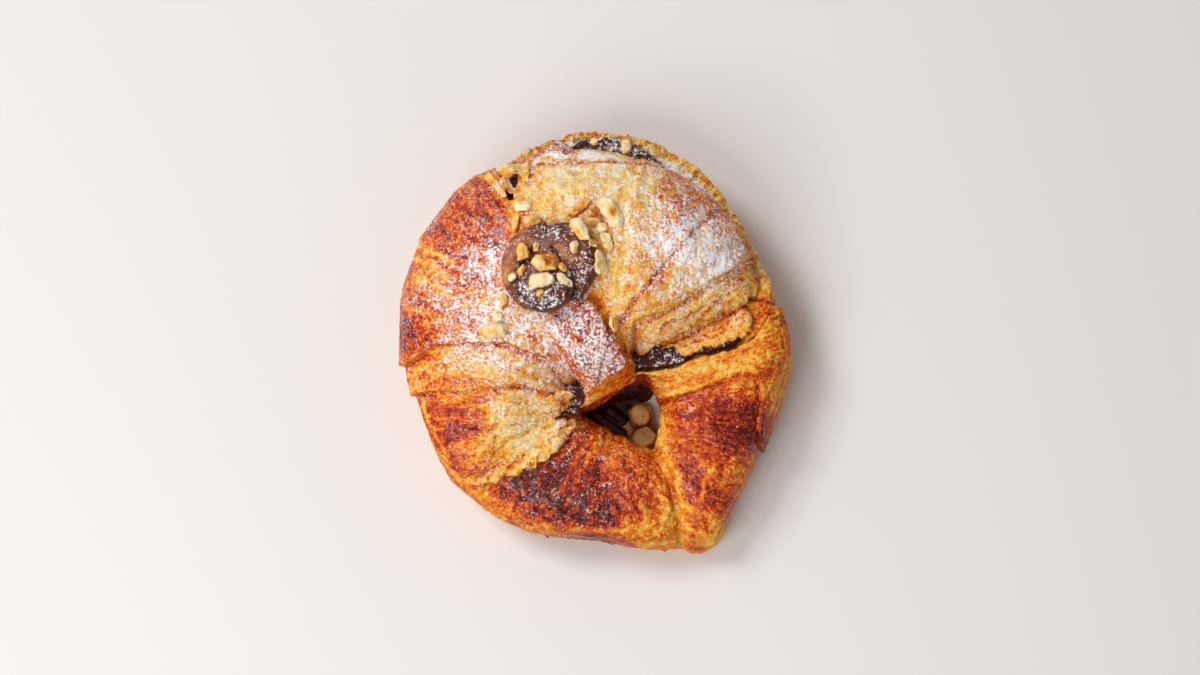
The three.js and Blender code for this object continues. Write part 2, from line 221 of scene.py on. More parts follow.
def smooth(piece, rounds, weight=1.0):
    # each round pulls points to their neighbours, and then gives back the size that this takes
    edges = np.empty(len(piece.data.edges) * 2, int)
    piece.data.edges.foreach_get("vertices", edges)
    first, second = edges.reshape(-1, 2).T
    points = pointsOf(piece)
    count = np.bincount(edges, minlength=len(points))[:, None]
    weight = np.broadcast_to(weight, len(points))[:, None]
    pullIn, pushOut = 0.55, -0.5
    for pull in [pullIn, pushOut] * rounds:
        total = [
            np.bincount(first, points[second, k], len(points)) + np.bincount(second, points[first, k], len(points))
            for k in range(3)
        ]
        points = points + pull * weight * (np.stack(total, 1) / count - points)
    movePoints(piece, points)


# Fields: values that depend on the place alone
cloudKeys = {"perSeed": 7.31, "axes": (73856093, 19349663, 83492791), "seed": 7919, "mix": 1274126177}
streakLay = {
    "reach": 45,  # how far from the hole streaks are as wide as they are drawn
    "spread": 0.4,  # how fast they widen further out
    "between": [5, 90],  # and between which distances
    "along": 6,
    "strayed": [8.0, 1.6, 90],  # size, how far, seed
    "walls": (0.16, 0.16, 1),
}
plateLook = {
    "stretch": (1, 1, 1.6),
    "ragged": [0.25, 1.6],  # how strong, size
    "steps": [[0.1, 0.2, 0.17], [-0.36, -0.26, -0.29], [0.5, 0.6, 0.57]],  # from, to, and where the edge is palest
    "edge": 0.045,
}
creaseLook = {
    "strayed": [4.0, 0.8, 8],
    "wobble": [0.5, 3.0, 5],  # how strong, size, seed
    "broken": [0.45, 2.5, 6],
}
plainWeight = 0.06  # how little what is plain counts beside a patch


def cloud(points, size, seed):
    # smooth random values from -1 to 1, with lumps of about that size
    cell = points / size + seed * cloudKeys["perSeed"]
    corner = np.floor(cell).astype(np.int64)
    part = cell - corner
    part = part * part * (3 - 2 * part)
    total = np.zeros(len(points))
    for step in np.ndindex(2, 2, 2):
        key = (corner + step) * cloudKeys["axes"]
        mixed = (key[:, 0] ^ key[:, 1] ^ key[:, 2]) + seed * cloudKeys["seed"]
        mixed = ((mixed ^ (mixed >> 13)) * cloudKeys["mix"]) & 0x7FFFFFFF
        value = ((mixed ^ (mixed >> 15)) & 65535) / 32767.5 - 1
        total += value * np.prod(np.where(step, part, 1 - part), axis=1)
    return total


def clouds(points, *layers):
    # clouds laid over each other; a layer is [how strong, size, seed]
    return sum(strong * cloud(points, size, seed) for strong, size, seed in layers)


def ramp(value, low, high):
    part = np.clip((value - low) / (high - low), 0, 1)
    return part * part * (3 - 2 * part)


def bell(value, middle, wide):
    return np.exp(-(((value - middle) / wide) ** 2))


def blended(plain, other, share):
    return plain * (1 - share) + other * share


def roundHole(points, wide, along, spread=0):
    # coordinates that go round the hole and away from it
    x, y = points[:, 0] - ringMiddle[0], points[:, 1] - ringMiddle[1]
    turn, reach = np.arctan2(y, x), np.hypot(x, y)
    across = wide * (np.clip(reach, *streakLay["between"]) / streakLay["reach"]) ** spread
    return np.stack([np.cos(turn) * across, np.sin(turn) * across, reach / along], 1)


def grain(points, fine, long, seed):
    # streaks that run from the rim towards the hole, as the turns of dough do
    return cloud(roundHole(points, streakLay["reach"] / fine, long), 1, seed)


def grains(points, *layers):
    # a layer is [how strong, how wide, how long, seed]
    return sum(strong * grain(points, fine, long, seed) for strong, fine, long, seed in layers)


def warped(points, size, much, seed):
    # the same points strayed about, so that patches and edges get uneven outlines
    stray = [much * cloud(points, size, seed + k) for k in range(2)] + [np.zeros(len(points))]
    return points + np.stack(stray, 1)


def flowOf(points):
    # coordinates that run slowly along the turns of dough and fast across them, for streaks
    strayed = warped(points, *streakLay["strayed"])
    return roundHole(strayed, streakLay["reach"], streakLay["along"], streakLay["spread"])


def peeled(points, size, seed):
    # thin plates of crust that lift at their edges: [height, how near an edge]
    strong, fine = plateLook["ragged"]
    value = cloud(flowOf(points) * plateLook["stretch"], size, seed) + strong * cloud(points, fine, seed + 1)
    height = sum(ramp(value, low, high) for low, high, _ in plateLook["steps"])
    nearEdge = sum(bell(value, edge, plateLook["edge"]) for _, _, edge in plateLook["steps"])
    return height, np.clip(nearEdge, 0, 1)


def awayFrom(line, points, closed=False):
    # distance, seen from above, to a line of straight stretches
    ends = np.array(line, float)
    if closed:
        ends = np.vstack([ends, ends[:1]])
    best = np.full(len(points), np.inf)
    for start, end in zip(ends[:-1], ends[1:]):
        run = end - start
        along = np.clip(((points[:, :2] - start) @ run) / (run @ run), 0, 1)
        offset = points[:, :2] - start - along[:, None] * run
        best = np.minimum(best, np.hypot(offset[:, 0], offset[:, 1]))
    return best


def insideOf(outline, points):
    # how deep inside a closed outline, seen from above, and negative outside it
    x, y = points[:, 0], points[:, 1]
    inside = np.zeros(len(points), bool)
    for (ax, ay), (bx, by) in zip(outline, outline[1:] + outline[:1]):
        if ay != by:
            inside ^= ((ay > y) != (by > y)) & (x < (bx - ax) * (y - ay) / (by - ay) + ax)
    away = awayFrom(outline, points, closed=True)
    return np.where(inside, away, -away)


def patched(patches, points, plain):
    # passes smoothly from one patch's value to the next's; a patch is [x, y, reach, value]
    weight = np.full(len(points), plainWeight)
    total = weight * plain
    for x, y, reach, value in patches:
        near = np.exp(-((points[:, 0] - x) ** 2 + (points[:, 1] - y) ** 2) / reach**2)
        weight += near
        total += near * value
    return total / weight


def creased(creases, points):
    # [how brown, how much of it shows, how high] from the rows of a list of creases
    brown, shows, height = np.zeros((3, len(points)))
    strayed = warped(points, *creaseLook["strayed"])
    wobble = 1 + clouds(points, creaseLook["wobble"])
    broken, size, seed = creaseLook["broken"]
    for number, (wide, itsBrown, high, line) in enumerate(creases):
        near = bell(awayFrom(line, strayed), 0, wide * wobble)
        near = near * (1 - broken + broken * cloud(points, size, seed + number))
        brown = blended(brown, itsBrown, near)
        shows = np.maximum(shows, near)
        height += high * near
    return brown, shows, height


# Outlines seen from above, that the crust's steps and edges follow
upperWrap = [
    [-90, -12], [-64.5, -9.7], [-51.5, -5.2], [-40.5, -4.7], [-27, -5.6], [-14, -10.1], [-3, -22],
    [12, -20], [17, 2], [26, 5], [39, 12], [51, 21], [62, 31], [90, 44], [90, 90], [-90, 90],
]
middleWrap = [
    [-90, -22], [-58, -20.5], [-48.3, -20.6], [-42.9, -21.4], [-36.5, -20.4], [-24, -19], [-12, -21],
    [0, -30], [10, 0], [60, 60], [-90, 60],
]
backWrap = [
    [6, 20], [12, 34], [17, 46], [19, 58], [18, 80], [90, 80], [90, 24], [60, 26], [44, 17],
    [28, 8], [14, 4],
]
frontFlap = [
    [-5, -20], [-6.2, -25.5], [-4.6, -31.8], [-9, -36], [-10.5, -40.6], [-16, -43.9], [-23.5, -47.6],
    [-29.5, -49.3], [-36, -51.4], [-46, -53.5], [-52, -47], [-44, -36], [-26, -27],
]
rightFlap = [
    [20, -2], [24.5, -3.8], [28, -4.6], [33.6, -8.6], [39, -6.3], [42, -4.6], [46, -3.9], [50, -2.2],
    [55, -0.9], [57.7, 2], [57.6, 5.4], [55.4, 7.4], [56, 13], [40, 10],
]
rightBand = [
    [10, -8], [14, -17], [19, -20.5], [26, -22], [33, -21.2], [39, -19.4], [45.5, -17.2], [51, -14.4],
    [56, -12.6], [59.4, -15], [60.8, -24], [59.6, -33], [60.5, -40], [66, -46], [90, -40],
    [90, 8], [56, 12], [36, 2],
]
notch = [
    [-38, 80], [-34, 62], [-30.5, 53], [-27, 45.5], [-24.8, 46], [-24.2, 54], [-25.5, 62], [-26, 80],
]
upperPlate = [
    [24.3, -4.2], [28.8, -2.4], [33.2, -0.6], [37, 1.6], [40.6, 3.3], [44.4, 5.3], [48, 7], [52, 9], [56, 11.2],
]
tears = [frontFlap[:10], rightFlap[:10] + [[58.8, 9], [56.8, 20], [52, 30]], upperPlate]
creamEdge = [
    [-8.5, -27], [-3, -28.5], [-1.2, -22], [5, -18.5], [13, -14.4], [18, -11.6], [24, -11.6], [31, -10.6],
    [37.5, -7.5], [44, -5.6], [51, -4], [56, 0.5], [58.5, 9], [56, 20], [47, 37], [38, 50],
    [29, 60], [23, 67], [12, 73], [0, 73.6], [-8, 70.2], [-14, 70], [-20, 66], [-30, 61], [-44, 52],
    [-56, 36], [-60.5, 16], [-60.5, -4], [-56, -22], [-48, -33.5], [-34, -33.5], [-18, -28.5],
]


# Shader helpers
def plug(tree, node, inputs):
    # each input takes a link from another node's socket, or else a value of its own
    for key, value in inputs.items():
        if isinstance(value, bpy.types.NodeSocket):
            tree.links.new(value, node.inputs[key])
        else:
            node.inputs[key].default_value = value


def addNode(tree, kind, inputs=None, **settings):
    made = tree.nodes.new(kind)
    for key, value in settings.items():
        setattr(made, key, value)
    plug(tree, made, inputs or {})
    return made


def sums(tree, operation, *values, clamp=False):
    made = addNode(tree, "ShaderNodeMath", dict(enumerate(values)), operation=operation, use_clamp=clamp)
    return made.outputs[0]


def swung(tree, pattern, much, base=0.0):
    # the base, plus the pattern's swing about its middle
    return sums(tree, "MULTIPLY_ADD", sums(tree, "SUBTRACT", pattern, 0.5), much, base)


def rising(tree, value, start, steep):
    return sums(tree, "MULTIPLY", sums(tree, "SUBTRACT", value, start), steep, clamp=True)


def mapped(tree, value, spans, gives):
    made = addNode(tree, "ShaderNodeMapRange", {
        "Value": value, "From Min": spans[0], "From Max": spans[1], "To Min": gives[0], "To Max": gives[1],
    })
    return made.outputs["Result"]


def bumped(tree, height, strength, deep):
    made = addNode(tree, "ShaderNodeBump", {"Strength": strength, "Distance": deep / 1000, "Height": height})
    return made.outputs["Normal"]


def noise(tree, place, size, detail=3.0, roughness=0.6, distortion=0.0):
    # a pattern whose lumps are about that many millimetres across
    made = addNode(tree, "ShaderNodeTexNoise", {
        "Vector": place, "Scale": 1000 / size, "Detail": detail, "Roughness": roughness, "Distortion": distortion,
    })
    return made.outputs["Fac"]


def painted(tree, name):
    return addNode(tree, "ShaderNodeAttribute", attribute_name=name).outputs["Fac"]


def colorsAlong(tree, value, stops):
    made = addNode(tree, "ShaderNodeValToRGB", {"Fac": value})
    steps = made.color_ramp.elements
    while len(steps) < len(stops):
        steps.new(0.5)
    for step, (position, color) in zip(steps, stops):
        step.position = position
        step.color = tone(*color)
    return made.outputs["Color"]


def freshMaterial(name):
    material = bpy.data.materials.new(name)
    material.use_nodes = True
    tree = material.node_tree
    place = addNode(tree, "ShaderNodeTexCoord").outputs["Object"]
    return material, tree, tree.nodes["Principled BSDF"], place


def mixColor(tree, share, under, over):
    return addNode(tree, "ShaderNodeMix", {0: share, 6: under, 7: over}, data_type="RGBA").outputs[2]


def sugared(tree, base, rough, white):
    # what the shader gets where sugar lies over a base
    return {
        "Base Color": mixColor(tree, white, base, tone(*powder["color"])),
        "Roughness": sums(tree, "MAXIMUM", rough, sums(tree, "MULTIPLY", white, powder["roughness"])),
    }


powder = {
    "color": (255, 253, 255),
    "roughness": 0.9,
    "speck": 1.0,
    "heap": 4.0,
    "heaping": 0.9,
    "fadeIn": 12.0,
    "reach": 0.45,
    "from": 0.67,
    "sharp": 7.5,
    "dust": 0.5,
    "dustFrom": 0.3,
}


def sugarMask(tree, place):
    # powdered sugar: a thin dust with thicker specks in it, and more of both the higher the painted cover
    specks = noise(tree, place, powder["speck"], 3.0, 0.75)
    heaps = noise(tree, place, powder["heap"], 2.0, 0.5)
    cover = painted(tree, "sugar")
    lying = swung(tree, heaps, powder["heaping"], cover)
    lying = sums(tree, "MULTIPLY", lying, sums(tree, "MULTIPLY", cover, powder["fadeIn"], clamp=True))
    level = sums(tree, "MULTIPLY_ADD", lying, powder["reach"], specks)
    dust = sums(tree, "MULTIPLY", rising(tree, lying, powder["dustFrom"], powder["dust"]), specks)
    return sums(tree, "MAXIMUM", rising(tree, level, powder["from"], powder["sharp"]), dust)


# The crust
crustLook = {
    "lively": [0.4, 0.85],  # how uneven the browning is where it is palest, and how much more where it is brownest
    "mottle": 1.1,
    "mottleSize": 2.6,
    "speckle": 0.75,
    "speckleSize": 0.9,
    "streak": 1.2,
    "streakSize": 0.75,
    "colors": [
        (0.00, (253, 228, 164)), (0.16, (248, 202, 104)), (0.32, (240, 166, 46)), (0.46, (228, 120, 20)),
        (0.60, (206, 73, 11)), (0.77, (158, 34, 8)), (1.00, (70, 12, 6)),
    ],
    "rough": [0.6, 0.3],
    "roughFor": [0.25, 0.75],  # how brown it is at the one and at the other
    "gloss": 0.2,
    "glaze": [0.0, 0.4],  # egg wash, on the browned crust where no sugar lies
    "glazeFor": [0.4, 0.7],
    "glazeRoughness": 0.16,
    "bump": 0.5,
    "bumpDeep": 0.6,
    "speckleHigh": 0.5,  # beside the mottle, which is 1 high
    "streakHigh": 1.2,
    "sugarHigh": 0.35,
}


def crustMaterial():
    look = crustLook
    material, tree, shader, place = freshMaterial("bakedCrust")
    mottle = noise(tree, place, look["mottleSize"], 4.0, 0.7)
    speckle = noise(tree, place, look["speckleSize"], 2.0, 0.6)
    along = addNode(tree, "ShaderNodeAttribute", attribute_name="flow").outputs["Vector"]
    streak = noise(tree, along, look["streakSize"], 3.0, 0.65, 0.6)
    # the painted browning; it also carries painted shade in the crust's grooves, beside plate edges and inside the
    # hole
    brown = painted(tree, "browning")
    least, more = look["lively"]
    lively = sums(tree, "MULTIPLY_ADD", sums(tree, "MULTIPLY", brown, 1.0, clamp=True), more, least)
    swing = swung(tree, speckle, look["speckle"], swung(tree, mottle, look["mottle"]))
    swing = swung(tree, streak, look["streak"], swing)
    crust = colorsAlong(tree, sums(tree, "MULTIPLY_ADD", swing, lively, brown), look["colors"])
    white = sugarMask(tree, place)
    relief = mottle
    for pattern, high in ((speckle, "speckleHigh"), (streak, "streakHigh"), (white, "sugarHigh")):
        relief = sums(tree, "MULTIPLY_ADD", pattern, look[high], relief)
    glazed = mapped(tree, brown, look["glazeFor"], look["glaze"])
    plug(tree, shader, sugared(tree, crust, mapped(tree, brown, look["roughFor"], look["rough"]), white) | {
        "Specular IOR Level": look["gloss"],
        "Coat Weight": sums(tree, "MULTIPLY", glazed, sums(tree, "SUBTRACT", 1.0, white)),
        "Coat Roughness": look["glazeRoughness"],
        "Normal": bumped(tree, relief, look["bump"], look["bumpDeep"]),
    })
    return material


crustFinish = crustMaterial()


def dressed(piece, material, *nodeNames, slot):
    piece.data.materials.clear()
    piece.data.materials.append(material)
    piece.data.polygons.foreach_set("use_smooth", np.ones(len(piece.data.polygons), bool))
    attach(piece, "root")
    if nodeNames:
        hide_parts(*nodeNames)
    return piece


# Trees of Geometry Nodes, and small things strewn with one, thicker where a painted attribute is higher
def newTree(name, inputs):
    tree = bpy.data.node_groups.new(name, "GeometryNodeTree")
    for label, kind in inputs.items():
        tree.interface.new_socket(label, in_out="INPUT", socket_type="NodeSocket" + kind)
    tree.interface.new_socket("result", in_out="OUTPUT", socket_type="NodeSocketGeometry")
    return tree, tree.nodes.new("NodeGroupInput").outputs


def endTree(tree, geometry, finish):
    real = addNode(tree, "GeometryNodeRealizeInstances", {"Geometry": geometry})
    made = addNode(tree, "GeometryNodeSetMaterial", {"Geometry": real.outputs["Geometry"], "Material": finish})
    addNode(tree, "NodeGroupOutput", {0: made.outputs["Geometry"]})
    return tree


def growOn(piece, tree, values):
    # the inputs are set by their sockets' identifiers, before the piece is first evaluated
    made = piece.modifiers.new(tree.name, "NODES")
    made.node_group = tree
    for item in tree.interface.items_tree:
        if item.item_type == "SOCKET" and item.name in values:
            made[item.identifier] = values[item.name]


def between(tree, kind, low, high, seed):
    first = 0 if kind == "FLOAT_VECTOR" else 2
    made = addNode(tree, "FunctionNodeRandomValue", {first: low, first + 1: high, "Seed": seed}, data_type=kind)
    return made.outputs[first // 2]


def strewTree():
    tree, given = newTree("strewn", {
        "surface": "Geometry", "where": "String", "density": "Float", "smallest": "Vector", "largest": "Vector",
        "tumble": "Float", "palest": "Float", "brownest": "Float", "seed": "Int", "finish": "Material",
    })
    seed, tumble = given["seed"], given["tumble"]
    cover = addNode(tree, "GeometryNodeInputNamedAttribute", {"Name": given["where"]}, data_type="FLOAT")
    density = sums(tree, "MULTIPLY", cover.outputs["Attribute"], given["density"])
    spread = addNode(tree, "GeometryNodeDistributePointsOnFaces", {
        "Mesh": given["surface"], "Density": density, "Seed": seed,
    })
    back = sums(tree, "MULTIPLY", tumble, -1.0)
    least = addNode(tree, "ShaderNodeCombineXYZ", {"X": back, "Y": back, "Z": -math.pi})
    most = addNode(tree, "ShaderNodeCombineXYZ", {"X": tumble, "Y": tumble, "Z": math.pi})
    turned = addNode(tree, "FunctionNodeRotateRotation", {
        "Rotation": spread.outputs["Rotation"],
        "Rotate By": between(tree, "FLOAT_VECTOR", least.outputs[0], most.outputs[0], seed),
    }, rotation_space="LOCAL")
    bit = addNode(tree, "GeometryNodeMeshIcoSphere", {"Radius": 1.0, "Subdivisions": 1})
    placed = addNode(tree, "GeometryNodeInstanceOnPoints", {
        "Points": spread.outputs["Points"], "Instance": bit.outputs["Mesh"], "Rotation": turned.outputs[0],
        "Scale": between(tree, "FLOAT_VECTOR", given["smallest"], given["largest"], seed),
    })
    kept = addNode(tree, "GeometryNodeStoreNamedAttribute", {
        "Geometry": placed.outputs["Instances"], "Name": "browning",
        "Value": between(tree, "FLOAT", given["palest"], given["brownest"], seed),
    }, data_type="FLOAT", domain="INSTANCE")
    return endTree(tree, kept.outputs["Geometry"], given["finish"])


strewnTree = strewTree()
facesOfBit = 20  # of the small ball that each bit starts from


def strew(name, surface, finish, looks):
    # sizes are half lengths in millimetres, and the density is per square millimetre
    piece = linked(name, surface.data)
    inMetres = {key: [value / 1000 for value in looks[key]] for key in ("smallest", "largest")}
    growOn(piece, strewnTree, looks | inMetres | {"density": looks["density"] * 1e6, "finish": finish})
    settle(piece)
    print(name, len(piece.data.polygons) // facesOfBit, "pieces")
    dressed(piece, finish, slot="crust")


sugarGrains = {
    "where": "grains", "density": 1.8, "smallest": [0.1, 0.1, 0.08], "largest": [0.34, 0.3, 0.24], "tumble": 3.1,
    "palest": 0.0, "brownest": 0.0,
}
rimCrumbs = {
    "where": "crumbs", "density": 0.5, "smallest": [0.3, 0.2, 0.1], "largest": [0.95, 0.6, 0.35], "tumble": 3.1,
    "palest": 0.08, "brownest": 0.42, "seed": 6,
}
flakes = {
    "where": "frills", "density": 0.5, "smallest": [0.5, 0.3, 0.05], "largest": [1.7, 1.0, 0.09], "tumble": 0.45,
    "palest": 0.15, "brownest": 0.5,
}
grainLook = {
    "colors": [(0.3, (236, 232, 236)), (0.7, (253, 252, 254))],
    "size": 0.5,
    "roughness": 0.75,
    "gloss": 0.3,
}
sugarHeaps = {"size": 2.2, "fills": 0.6, "least": 0.1, "more": 2.6, "most": 1.5}


def sugarMaterial():
    material, tree, shader, place = freshMaterial("powderedSugar")
    plug(tree, shader, {
        "Base Color": colorsAlong(tree, noise(tree, place, grainLook["size"], 2.0), grainLook["colors"]),
        "Roughness": grainLook["roughness"],
        "Specular IOR Level": grainLook["gloss"],
    })
    return material


sugarFinish = sugarMaterial()


def heaped(cover, points, seed):
    # grains of sugar stand in small heaps
    heaps = ramp(cloud(points, sugarHeaps["size"], seed), 0.0, sugarHeaps["fills"])
    return np.clip(cover * (sugarHeaps["least"] + sugarHeaps["more"] * heaps), 0, sugarHeaps["most"])


lid = {
    "voxel": 0.5,
    "mostTriangles": 190000,
    "plainBrown": 0.5,
    "brown": [
        [-41, 47, 14, 0.64], [-35, 44, 8, 0.76], [-54, 36, 9, 0.64], [-62, 30, 7, 0.56], [-31, 53, 5, 0.35],
        [-51, 23, 9, 0.58], [-42, 28, 8, 0.66], [-47, 10, 10, 0.5], [-60, -2, 9, 0.79], [-53, 4, 7, 0.64],
        [-29, 2.5, 12, 0.42], [-59, -13, 6, 0.36], [-40, -12, 8, 0.38], [-23, -11, 7, 0.34], [-15, -17, 7, 0.26],
        [-47, -34, 9, 0.72], [-52, -23, 6, 0.5], [-36, -42, 6, 0.48], [-26, -34, 8, 0.19], [-17, -37, 7, 0.19],
        # the last three patches of the next row, on the strap by the tongue, are browner partly as painted shade,
        # as the strap leans away from the light
        [-31, -47, 5, 0.34], [-41, -50, 5, 0.4], [-1, -3, 9, 0.76], [-8, -1.5, 7, 0.52], [7, -10, 6, 0.6],
        [12, 9, 8, 0.25], [9, 22, 8, 0.26], [20, 48, 10, 0.2], [-14, 49, 9, 0.18], [2, 57, 9, 0.12],
        [21, 60, 5, 0.3], [24, 40, 5, 0.26], [37, 44, 9, 0.6], [47, 35, 8, 0.45], [40, 20, 9, 0.36],
        [54, 22, 7, 0.5], [47, 11, 7, 0.35], [59, 16, 5, 0.36], [36, 4, 7, 0.27], [22, 0, 6, 0.24],
        [54, 8, 5, 0.34], [39, -1, 5, 0.3], [50, 1, 5, 0.3], [-11.5, 71, 5, 0.68],
    ],
    "plainSugar": 0.2,
    "sugar": [
        [-41, 47, 14, 0.14], [-54, 30, 10, 0.14], [-47, 12, 10, 0.46], [-35, 20, 8, 0.6], [-60, -2, 8, 0.06],
        [-40, -5, 9, 0.56], [-29, 2, 10, 0.64], [-10, -3, 10, 0.6], [3, -8, 8, 0.6], [-23, -12, 9, 0.4],
        [-47, -34, 10, 0.03], [-26, -30, 8, 0.4], [-17, -36, 8, 0.36], [-33, -46, 6, 0.2], [-42, -16, 7, 0.28],
        [15, 10, 10, 0.33], [20, 45, 12, 0.48], [2, 55, 10, 0.45], [-14, 50, 9, 0.38], [33, 30, 12, 0.66],
        [37, 46, 8, 0.4], [30, 12, 10, 0.36], [41, 22, 9, 0.86], [45, 10, 7, 0.26], [25, 0, 7, 0.3],
        [50, 2, 6, 0.25], [58, 12, 6, 0.2], [-11.5, 71, 5, 0.5],
    ],
    "sugarBand": [[-22, 59], [-18.5, 62], [-13.5, 64], [-7, 65.2], [0.8, 65], [9.8, 63.2]],
    "knob": [-11.5, 5.0, 4.6],  # across, half width, how far out
    "tongueEnd": {
        "middle": [7, -19, 35], "facing": [0.42, -0.81, 0.42], "top": [37.6, 0.13], "ragged": [0.9, 1.6, 43],
    },
    "rounds": 9,  # of smoothing
    "firm": 0.12,  # how much of it the torn edges get
    "streaks": [[0.16, 1.5, 11, 13], [0.1, 0.8, 8, 14]],  # as in grains
    "plateSize": [5.5, 17],  # and the seed
    "leafWidth": 3.8,
    "leafRagged": [[1.3, 2.8, 36], [0.6, 1.2, 37]],  # as in clouds
    "tornRelief": [[0.6, 1.5, 18], [0.3, 0.9, 29]],
    "high": {"grain": 0.16, "plates": 0.3, "leaf": 0.55, "plate": 0.7, "underPlate": 1.1, "tattered": 1.15},
    "wraps": [[upperWrap, 0.35, 0.6], [middleWrap, 0.3, 0.5], [backWrap, 0.15, 0.25]],  # lip, groove
    # browning levels; the ones for under the wrap edges and under the upper plate's edge are painted shade in
    # those grooves
    "shades": {"shadeUnderWrap": 0.72, "torn": 0.28, "underPlate": 0.8, "sides": 0.42, "tongue": 0.38},
    "creases": [  # wide, brown, high, its line; in the sunk creases and the strap's crack the browner colour is painted shade
        [1.3, 0.3, 0.5, [[-62, 34], [-57, 30.8], [-51.3, 26.7], [-46.6, 23.6], [-41.3, 18.3]]],
        [0.9, 0.32, 0.4, [[-62, 28], [-56.2, 25.4], [-48.8, 19.4]]],
        [1.1, 0.32, 0.4, [[-62, 23], [-59.1, 20.3], [-52.9, 16.6], [-47.9, 12.9]]],
        [1.8, 0.3, 0.3, [[-33, 58], [-31, 52], [-27.8, 46.6], [-24.2, 40]]],
        [0.7, 0.55, -0.4, [[19.8, 62.9], [22.2, 50.3], [24.2, 40.3]]],
        # the strap's crack: deep, and painted darkest brown inside it as shade
        [1.3, 1.0, -3.6, [[3.9, 9.6], [7.9, 2.8], [11.2, -2.1], [13.6, -5.6], [15.4, -9.1]]],
        [0.7, 0.62, -0.9, [[-34.2, -43.9], [-32.6, -40.5], [-27.6, -37.4], [-20.3, -32.9], [-12.9, -31.8]]],
        [0.8, 0.2, 0.7, [[-41.8, -42.2], [-33.8, -36.9], [-29.6, -32]]],
        [0.8, 0.55, -0.5, [[-28.6, -25.4], [-23.6, -27.5], [-16.7, -25], [-10.2, -22.2]]],
        [0.8, 0.66, -0.6, [[-54.2, -20], [-49.5, -22.2], [-37.9, -22], [-33.2, -20.4]]],
        [0.6, 0.5, 0.3, [[-65.6, -9.6], [-59.7, -7.8], [-51, -6.4], [-41.9, -6.2], [-34.9, -7]]],
        [0.6, 0.56, -0.4, [
            [-63.2, -14.5], [-57.1, -11.8], [-49.2, -9.6], [-40.2, -8.6], [-29.6, -8.8], [-19.4, -10],
        ]],
        [0.6, 0.5, -0.4, [[-59.4, -17], [-51.5, -15.2], [-43, -14.4], [-33, -14.8], [-22.3, -14.5]]],
        [0.7, 0.55, -0.4, [[27, 1], [34, 4.4], [42, 8.6], [50, 12.4]]],
        [0.8, 0.2, 0.5, [[-58.6, -22.6], [-56.2, -31.4], [-53.4, -37.3], [-50.2, -41.9]]],
        [0.8, 0.3, 0.3, [[22.6, 0.6], [33, 6.4], [44, 12.4], [55.5, 17.2]]],
        [0.8, 0.55, -0.3, [[18.8, 2], [32.9, 10], [46.8, 17.5], [55.5, 22.4]]],
    ],
}


crustRelief = {  # in millimetres, with layers as in clouds
    "swell": [[0.35, 9.0, 1], [0.22, 4.2, 2], [0.13, 1.1, 4]],
    "blister": [0.32, 2.2, 3],
    "sunk": 0.06,
}
patchStray = [6.0, 2.5]  # how the outlines of brown and sugared patches stray: size, how far


def tornAway(points):
    return np.minimum.reduce([awayFrom(tear, points) for tear in tears])


def overPlate(points):
    # how far inside the upper of the right flap's two plates, and negative on the lower one
    over = insideOf(upperPlate + [[62, 40], [16, 40], [16, -6]], points) > 0
    return np.where(over, 1, -1) * awayFrom(upperPlate, points)


def leafEdge(points):
    # a second leaf of crust ends raggedly a little inside a torn edge: how far inside that end
    inside = np.maximum(insideOf(frontFlap, points), insideOf(rightFlap, points))
    ragged = tornAway(points) + clouds(points, *lid["leafRagged"])
    return np.where(inside > 0, ragged - lid["leafWidth"], -np.inf)


def wrapStep(outline, points, lip, groove):
    # a turn's edge stands up a little, over a thin shadow
    deep = insideOf(outline, points)
    return lip * bell(deep, 1.0, 1.3) - groove * bell(deep, -0.6, 0.7)


def bakedRelief(points):
    high, size, seed = crustRelief["blister"]
    blister = high * np.abs(cloud(points, size, seed))
    return clouds(points, *crustRelief["swell"]) + blister - crustRelief["sunk"]


def lidPlates(points):
    # the peeled plates' [height, edges], where the lid has them
    height, edges = peeled(points, *lid["plateSize"])
    share = ramp(cloud(points, 18, 19), -0.5, 0.1)
    return height * share, edges * share


def endOfTongue(points, normals):
    # the smooth cut face that the last turn of dough ends in, over the hole
    end = lid["tongueEnd"]
    facing = np.array(end["facing"]) / np.linalg.norm(end["facing"])
    height, slope = end["top"]
    under = height + slope * points[:, 0] + clouds(points, end["ragged"])
    near = ramp(np.linalg.norm(points - end["middle"], axis=1), 12.5, 11)
    return near * ramp(normals @ facing, 0.75, 0.9) * ramp(points[:, 2], under, under - 0.5)


